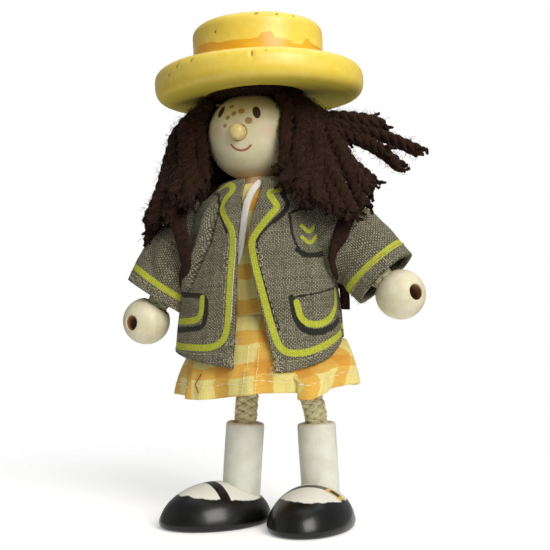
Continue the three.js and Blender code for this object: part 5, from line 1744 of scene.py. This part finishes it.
def lock(end, rng, loose):
    """Way of one yarn from under the hat to its end, in the body's frame."""
    x, y, z, swept, room = end
    angle, reach = math.atan2(y, x), math.hypot(x, y)

    def at(radius, height, share=1.0):
        way = angle + math.radians(swept) * share
        return np.array([radius * math.cos(way), radius * math.sin(way), height])

    side = HEAD_RADIUS + LOCK_RADIUS + 1 if loose else HEAD_RADIUS + 1.2
    middle = (side * 2 + reach) / 3 + 0.6 + room * 0.55
    way = [at(HEAD_RADIUS + LOCK_RADIUS / 2 - 2, HAT_BOTTOM - LOCK_RADIUS + 2.2),
           at(side + room, HAT_BOTTOM - LOCK_RADIUS - 2.0 - room * 0.35),
           at(middle, (HAT_BOTTOM + TORSO_HEIGHT + z) / 2 - 1, 0.5), np.array([x, y, TORSO_HEIGHT + z])]
    t = np.linspace(0, 1, 44)
    path = np.array([curve_rows(way, k) for k in t])
    phase, pace = rng.uniform(0, 6.28, 3), rng.uniform(7, 12, 3)
    sway = np.sin(t[:, None] * pace + phase) * (1, 1, 0.5)
    return path + sway * (0.75 if loose else 0.4) * ease(0.05, 0.5, t)[:, None]


def clear_of(path, room):
    """Moves a way out of the head, the hat and the jacket."""
    path = path.copy()
    off = path - np.array([0, 0, HEAD_MIDDLE])
    far = np.linalg.norm(off, axis=1)
    path += off * (np.maximum(0, HEAD_RADIUS + room - far) / far)[:, None]
    hollow = 1.3 * (1 - ease(12, 20, np.hypot(path[:, 0] - HAT_SHIFT, path[:, 1])))
    slope = path[:, 1] * math.tan(HAT_PITCH) - (path[:, 0] - HAT_SHIFT) * math.tan(HAT_TILT)
    path[:, 2] = np.minimum(path[:, 2], HAT_BOTTOM - room + 0.3 + hollow + slope)
    low = path[:, 2] < COLLAR_TOP + room
    wide, deep, hang = jacket_size(np.minimum(path[:, 2], COLLAR_TOP))
    share = np.hypot(path[:, 0] / (wide + room + hang), path[:, 1] / (deep + room))
    push = np.where(low & (share < 1), 1 / np.maximum(share, 0.05), 1.0)
    path[:, :2] *= push[:, None]
    return path


def yarn_maker():
    """Yarn: plies twisted round each path."""
    m = Maker("twisted_yarn")
    radius, plies = m.size("Radius"), m.size("Plies", "Int")
    pitch, step = m.size("Pitch"), m.size("Step")
    paint = m.size("Paint", "Material")
    many, index = m.copies(m.path(step), plies)
    far = m.add("GeometryNodeSplineParameter", out="Length")
    lumps = m.add("ShaderNodeTexNoise", {}, {"Scale": 420.0, "Detail": 1.0}) * 0.6 + 0.7
    lumps = lumps * (1 - m.add("GeometryNodeSplineParameter", out="Factor").ease(0.94, 1.0) * 0.5)
    moved = m.beside(many, radius * 0.48, far * (2 * math.pi) / pitch + index * (2 * math.pi) / plies)
    moved = m.keep(moved, "lay", far)
    ring = m.keep(m.circle(radius * 0.6, 8), "turn", m.add("GeometryNodeSplineParameter", out="Factor"))
    strands = m.swept(moved, ring, lumps)
    m.close(m.add("GeometryNodeSetShadeSmooth", {}, {0: strands}), paint)
    return m


def fuzz_maker():
    """Loose fibres that stand off a piece, each a bent thread."""
    m = Maker("loose_fibres")
    density, reach, thick = m.size("Density"), m.size("Reach"), m.size("Thickness")
    seed, paint = m.size("Seed", "Int"), m.size("Paint", "Material")
    spots = m.add("GeometryNodeDistributePointsOnFaces", {"distribute_method": "RANDOM"},
                  {"Mesh": m.given, "Density": density, "Seed": seed})
    stand = Value(m, spots.socket.node.outputs["Rotation"])
    thread = m.add("GeometryNodeCurvePrimitiveBezierSegment", {"mode": "POSITION"},
                   {"Resolution": 2, "Start": (0, 0, -0.0001), "Start Handle": (0, 0, 0.0005),
                    "End Handle": (0.0005, 0, 0.0008), "End": (0.001, 0.0002, 0.0006)})
    thread = m.tube(thread, thick, 3)
    angle = m.chance(0.0, 6.28, 3)
    spin = m.add("FunctionNodeAxisAngleToRotation", {}, {"Axis": (0, 0, 1), "Angle": angle})
    spin = m.add("FunctionNodeRotateRotation", {"rotation_space": "LOCAL"}, {0: stand, 1: spin})
    size = reach * m.chance(0.35, 1.35, 5)
    sockets = {"Points": spots, "Instance": thread, "Rotation": spin, "Scale": size}
    m.close(m.add("GeometryNodeInstanceOnPoints", {}, sockets), paint)
    return m


def yarn_paint():
    p = Paint("dark_yarn", Sheen_Weight=0.12, Sheen_Roughness=0.45, Sheen_Tint=(0.4, 0.22, 0.13, 1.0),
              Specular_IOR_Level=0.2)
    at = p.place()
    lay, turn = p.value("lay") * 1000.0, p.value("turn")
    fibre = p.noise(p.join(turn * 14.0, lay * 0.5 + turn * 4.0, 0.0), 1.6, 3.0, 0.65)
    cloud = p.noise(at, 0.25, 2.0)
    colour = p.mix(ink(25, 12, 6), ink(60, 36, 21), fibre.ease(0.3, 0.75))
    colour = p.mix(colour, ink(76, 47, 29), cloud.ease(0.55, 0.8) * 0.3)
    return p.finish(colour, 0.9, fibre, 0.2, 0.9)


def fibre_paint(name, dark, light):
    p = Paint(name)
    cloud = p.noise(p.place(), 0.9, 2.0).ease(0.35, 0.65)
    return p.finish(p.mix(ink(*dark), ink(*light), cloud), 0.8)


YARN, FUZZ, YARN_PAINT = yarn_maker(), fuzz_maker(), yarn_paint()
FIBRES = fibre_paint("yarn_fibres", (40, 22, 13), (84, 56, 38))


def yarns(name, paths, paint, radius, plies, pitch, step):
    """Twisted yarns along paths; sizes in millimetres."""
    sizes = {"Radius": radius * MM, "Plies": plies, "Pitch": pitch * MM, "Step": step * MM}
    return YARN.make(name, lines(name, paths), {**sizes, "Paint": paint})


def hair_ways(name, rng):
    """Ways of the yarns at one side of the head, in the body's frame."""
    rows = [np.array((*end, 0, 0)[:5], float) for end in LOCKS[name]]
    turn = LEAN_ROUND[name]
    ways = []
    for row in rows:
        shift = (*rng.uniform(-0.6, 0.6, 2), rng.uniform(-1.3, 1.3), 0, 0)
        ways.append(lock(row + shift, rng, True))
    for i, (a, b) in enumerate(zip(rows, rows[1:])):
        shift = (*rng.uniform(-0.9, 0.9, 2), rng.uniform(-0.6, 3.2), 3 * turn, 0)
        inner = (a + b) / 2 * (0.9, 0.9, 1, 1, 0.5) + shift
        shift = (*rng.uniform(-0.9, 0.9, 2), rng.uniform(-1.4, 2.4), -2 * turn, 0)
        outer = (a + b) / 2 * (1.02, 1.02, 1, 1, 1.1) + shift
        ways.append(lock(inner, rng, True))
        if i < FULL_LOCKS:
            ways.append(lock(outer, rng, True))
    ways += [lock(np.array((*end, 0, 0)[:5], float), rng, False) for end in UNDER[name]]
    return ways


def frayed(paths, rng):
    """Paths of the frayed ends of yarns."""
    tufts = []
    t = np.linspace(0, 1, 5)[:, None]
    for path in paths:
        ahead = unit(path[-1] - path[-4])
        for _ in range(9):
            way = unit(ahead + rng.normal(0, 0.28, 3))
            foot = path[-1] - ahead * 0.8 + rng.normal(0, 0.55, 3)
            tufts.append(foot + way * t * rng.uniform(1.0, 2.6) + rng.normal(0, 0.4, 3) * t * t)
    return tufts


def strayed(paths, rng):
    """Paths of a few long fibres that stand off the yarns."""
    stray = []
    for path in paths[::3]:
        t = np.linspace(0, 1, len(path))[:, None]
        bow = unit(rng.normal(0, 1, 3)) * np.sin(t * rng.uniform(2.4, 3.4)) * rng.uniform(1.8, 3.4)
        curl = np.sin(t * rng.uniform(8, 14, 3) + rng.uniform(0, 6, 3)) * 0.5
        stray.append((path + bow + curl)[4:])
    return stray


def make_hair(order, name):
    rng = np.random.default_rng(11 + order)
    paths = [on_body(clear_of(way, YARN_ROOM)) for way in hair_ways(name, rng)]
    hair = yarns(f"yarn_hair_{name}", paths, YARN_PAINT, radius=1.5, plies=3, pitch=7.0, step=0.65)
    sizes = {"Density": 0.7e6, "Reach": 1.15, "Thickness": 0.03 * MM, "Seed": 4 + order}
    fuzz = FUZZ.make(f"yarn_fuzz_{name}", hair.data.copy(), {**sizes, "Paint": FIBRES})
    fray = yarns(f"yarn_ends_{name}", frayed(paths, rng), YARN_PAINT,
                 radius=0.42, plies=2, pitch=2.6, step=0.5)
    loose = yarns(f"yarn_strays_{name}", strayed(paths, rng), FIBRES,
                  radius=0.045, plies=1, pitch=3.0, step=0.8)
    for part in (hair, fuzz, fray, loose):
        on_body((0, 0, 31)) * MM
        on_body((0, 0, 50)) * MM
        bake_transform(part)
    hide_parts(f"hair_{name}")


def make_cap():
    """Edge of the wig, which shows as a dark line under the hat."""
    turn = np.linspace(0, 2 * math.pi, 80)
    rings = [hat_place(np.stack([r * np.cos(turn) - HAT_SHIFT, r * np.sin(turn), z + 0 * turn], -1))
             for r, z in ((9.5, 1.75), (8.2, 1.3), (7.0, 0.9))]
    paths = [on_body(ring) for ring in rings]
    cap = yarns("yarn_cap", paths, YARN_PAINT, radius=0.75, plies=3, pitch=4.0, step=0.5)
    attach(cap, "head")


for order, name in enumerate(LOCKS):
    make_hair(order, name)
make_cap()


# Sewing thread
def stitch_maker():
    """Stitches laid end to end along each path."""
    m = Maker("stitches")
    pitch, length, thick = m.size("Pitch"), m.size("Length"), m.size("Thickness")
    seed, paint = m.size("Seed", "Int"), m.size("Paint", "Material")
    path = m.add("GeometryNodeMeshToCurve", {}, {0: m.given})
    spots = m.add("GeometryNodeCurveToPoints", {"mode": "LENGTH"}, {"Curve": path, "Length": pitch})
    turn = Value(m, spots.socket.node.outputs["Rotation"])
    loop = m.add("GeometryNodeMeshUVSphere", {}, {"Segments": 6, "Rings": 5, "Radius": 1.0})
    loop = m.add("GeometryNodeSetShadeSmooth", {}, {0: loop})
    size = m.join(thick, thick, length * m.chance(0.35, 0.6, seed))
    sockets = {"Points": spots, "Instance": loop, "Rotation": turn, "Scale": size}
    m.close(m.add("GeometryNodeInstanceOnPoints", {}, sockets), paint)
    return m


STITCH = stitch_maker()
BEIGE = fibre_paint("beige_thread", (178, 165, 132), (208, 197, 166))
FLAX = fibre_paint("flax_thread", (140, 130, 104), (172, 162, 132))
CHALK = fibre_paint("white_thread", (214, 208, 188), (234, 229, 212))
CREAM = fibre_paint("cream_thread", (232, 220, 170), (243, 235, 200))


def sewn(name, paths, paint, body="torso", pitch=1.5, length=1.3, thick=0.13):
    """Rows of stitches along paths; sizes in millimetres."""
    sizes = {"Pitch": pitch * MM, "Length": length * MM, "Thickness": thick * MM, "Seed": 7}
    row = STITCH.make(name, lines(name, paths), {**sizes, "Paint": paint})
    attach(row, body)
    return row


def threads(name, paths, paint, thick, body="torso", step=0.25):
    """Sewing threads of two plies along paths."""
    row = yarns(name, paths, paint, radius=thick, plies=2, pitch=1.2, step=step)
    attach(row, body)
    return row


def tuft(rng, middle, count, reach, spread=0.5):
    """Short loose threads round a place in the body's frame."""
    rows = []
    for _ in range(count):
        t = np.linspace(0, 1, 7)[:, None]
        way = unit(rng.normal(0, 1, 3) + np.array([0, -1.4, -0.3]))
        rate, begin = rng.uniform(2, 6, 3), rng.uniform(0, 6, 3)
        curl = (np.sin(t * rate + begin) - np.sin(begin)) * 0.35
        foot = np.asarray(middle) + rng.normal(0, spread, 3) * (1, 0.4, 1)
        rows.append(foot + way * t * rng.uniform(0.4, 1) * reach + curl)
    return rows


# Seams of the jacket, thread at its edge and loose loops, by height on the body and degrees from the front
SEAMS = [[(23, -11), (18, -11.6), (10.2, -11.6), (4, -11.2)],
         [(21.6, 10), (19, 11.6), (11, 18.7), (3.7, 24.8), (0, 28.5)],
         [(-1.7, -6), (-1.9, -14), (-1.7, -24), (-1.2, -40), (0.2, -62), (0.6, -86)],
         [(-4.9, 28), (-4.8, 40), (-4.4, 50), (-2.8, 62), (-1.0, 84)]]
EDGE_THREAD = [(23.4, -5.0), (18, -5.6), (10.2, -5.6), (5, -5.4)]
LOOPS = ((20.4, -12.4), (19, -12.7), (17.6, -12.6), (20.2, 11.6), (18.6, 12.8), (17.2, 13.6))
# Frayed corners: height, degrees from the front and the number of threads
CORNERS = ((0.6, -3, 9), (-3.6, -4, 12), (-6.0, 23, 14), (-3.8, 24, 6))


def sew_jacket(rng):
    paths = [on_body(on_jacket(row, 0.05) + rng.normal(0, 0.02, 3)) for row in SEAMS]
    sewn("jacket_stitches", paths, FLAX)
    threads("jacket_edge_thread", [on_body(on_jacket(EDGE_THREAD, 0.06))], CHALK, 0.09)
    loops = []
    for height, angle in LOOPS:
        a = np.linspace(0, rng.uniform(3.6, 6.2), 16) + rng.uniform(-1.2, 1.2)
        turn = np.radians(angle + rng.uniform(1.2, 2.6) * np.sin(a) + rng.uniform(-0.8, 0.8))
        rise = height + rng.uniform(0.35, 0.6) * np.cos(a)
        loops.append(on_body(jacket_at(turn, rise, jacket_folds(turn, rise) + 0.12)))
    threads("jacket_loose_loops", loops, BEIGE, 0.08)
    ends = []
    for height, angle, count in CORNERS:
        place = jacket_at(np.array([math.radians(angle)]), np.array([height]), 0.2)[0]
        ends += [on_body(row) for row in tuft(rng, place, count, 1.8)]
    threads("jacket_frayed_corners", ends, BEIGE, 0.06)


def sew_satchel():
    """Stitches down one side of the flap, round its foot and up the other side."""
    many, across = 60, 80
    side = np.linspace(0.95, 0.11, many)
    u = np.r_[np.full(many, 0.035), np.linspace(0.05, 0.95, across), np.full(many, 0.965)]
    v = np.r_[side, 0.035 + 0.08 * np.abs(np.linspace(-1, 1, across)) ** 14, side[::-1]]
    brown = fibre_paint("brown_thread", (96, 70, 52), (128, 98, 74))
    path = on_body(FLAP(u, v) + (0, 0.05, 0.05))
    sewn("satchel_stitches", [path], brown, pitch=1.9, length=1.6, thick=0.15)


def sew_cuff(side, rng):
    point = sleeve_surface(side)
    turn = np.linspace(0, 360, 90)

    def row_at(share, lift):
        return point(turn, share, sleeve_folds(side, turn, share)[:, None] + lift)

    sewn(f"cuff_stitches_{side}", [on_body(row_at(0.105, 0.06))], FLAX, f"arm_{side}")
    roots = row_at(0.03, 0.06 - 0.2)[[0, 9, 30, 62]]
    fray = [on_body(row) for root in roots for row in tuft(rng, root, 4, 1.6, 0.15)]
    threads(f"cuff_frays_{side}", fray, BEIGE, 0.05, f"arm_{side}")


def sew_skirt():
    proud = (1.004, 1.004, 1)
    for side, (begin, end) in SKIRT.items():
        angle = np.linspace(begin + 0.03, end - 0.07, 160)
        path = skirt_at(side, angle, 0.16 + 0.012 * np.sin(angle * 17)) * proud
        row = sewn(f"hem_stitches_{side}", [on_body(path)], CREAM,
                   pitch=1.7, length=1.5, thick=0.12)
        gather(row, side)
    rise = np.linspace(0.02, 0.6, 30)
    down = [on_body(skirt_at("right", np.radians(a + 2 * rise), rise) * proud) for a in (-2.0, 5.5)]
    row = sewn("skirt_middle_stitches", down, CREAM, pitch=0.8, length=0.75, thick=0.1)
    gather(row, "right")
    fall = np.linspace(0.32, 0.09, 24)
    turn = np.interp(np.linspace(0, 1, 24), (0, 0.55, 1), (-33, -37, -32.5))
    path = skirt_at("right", np.radians(turn), fall) * (1.01, 1.01, 1)
    red = fibre_paint("red_thread", (150, 48, 24), (176, 66, 36))
    row = threads("red_thread", [on_body(path)], red, 0.11, step=0.3)
    gather(row, "right")


def make_sewing():
    rng = np.random.default_rng(31)
    sew_jacket(rng)
    sew_satchel()
    for side in STANCE:
        sew_cuff(side, rng)
    sew_skirt()


make_sewing()
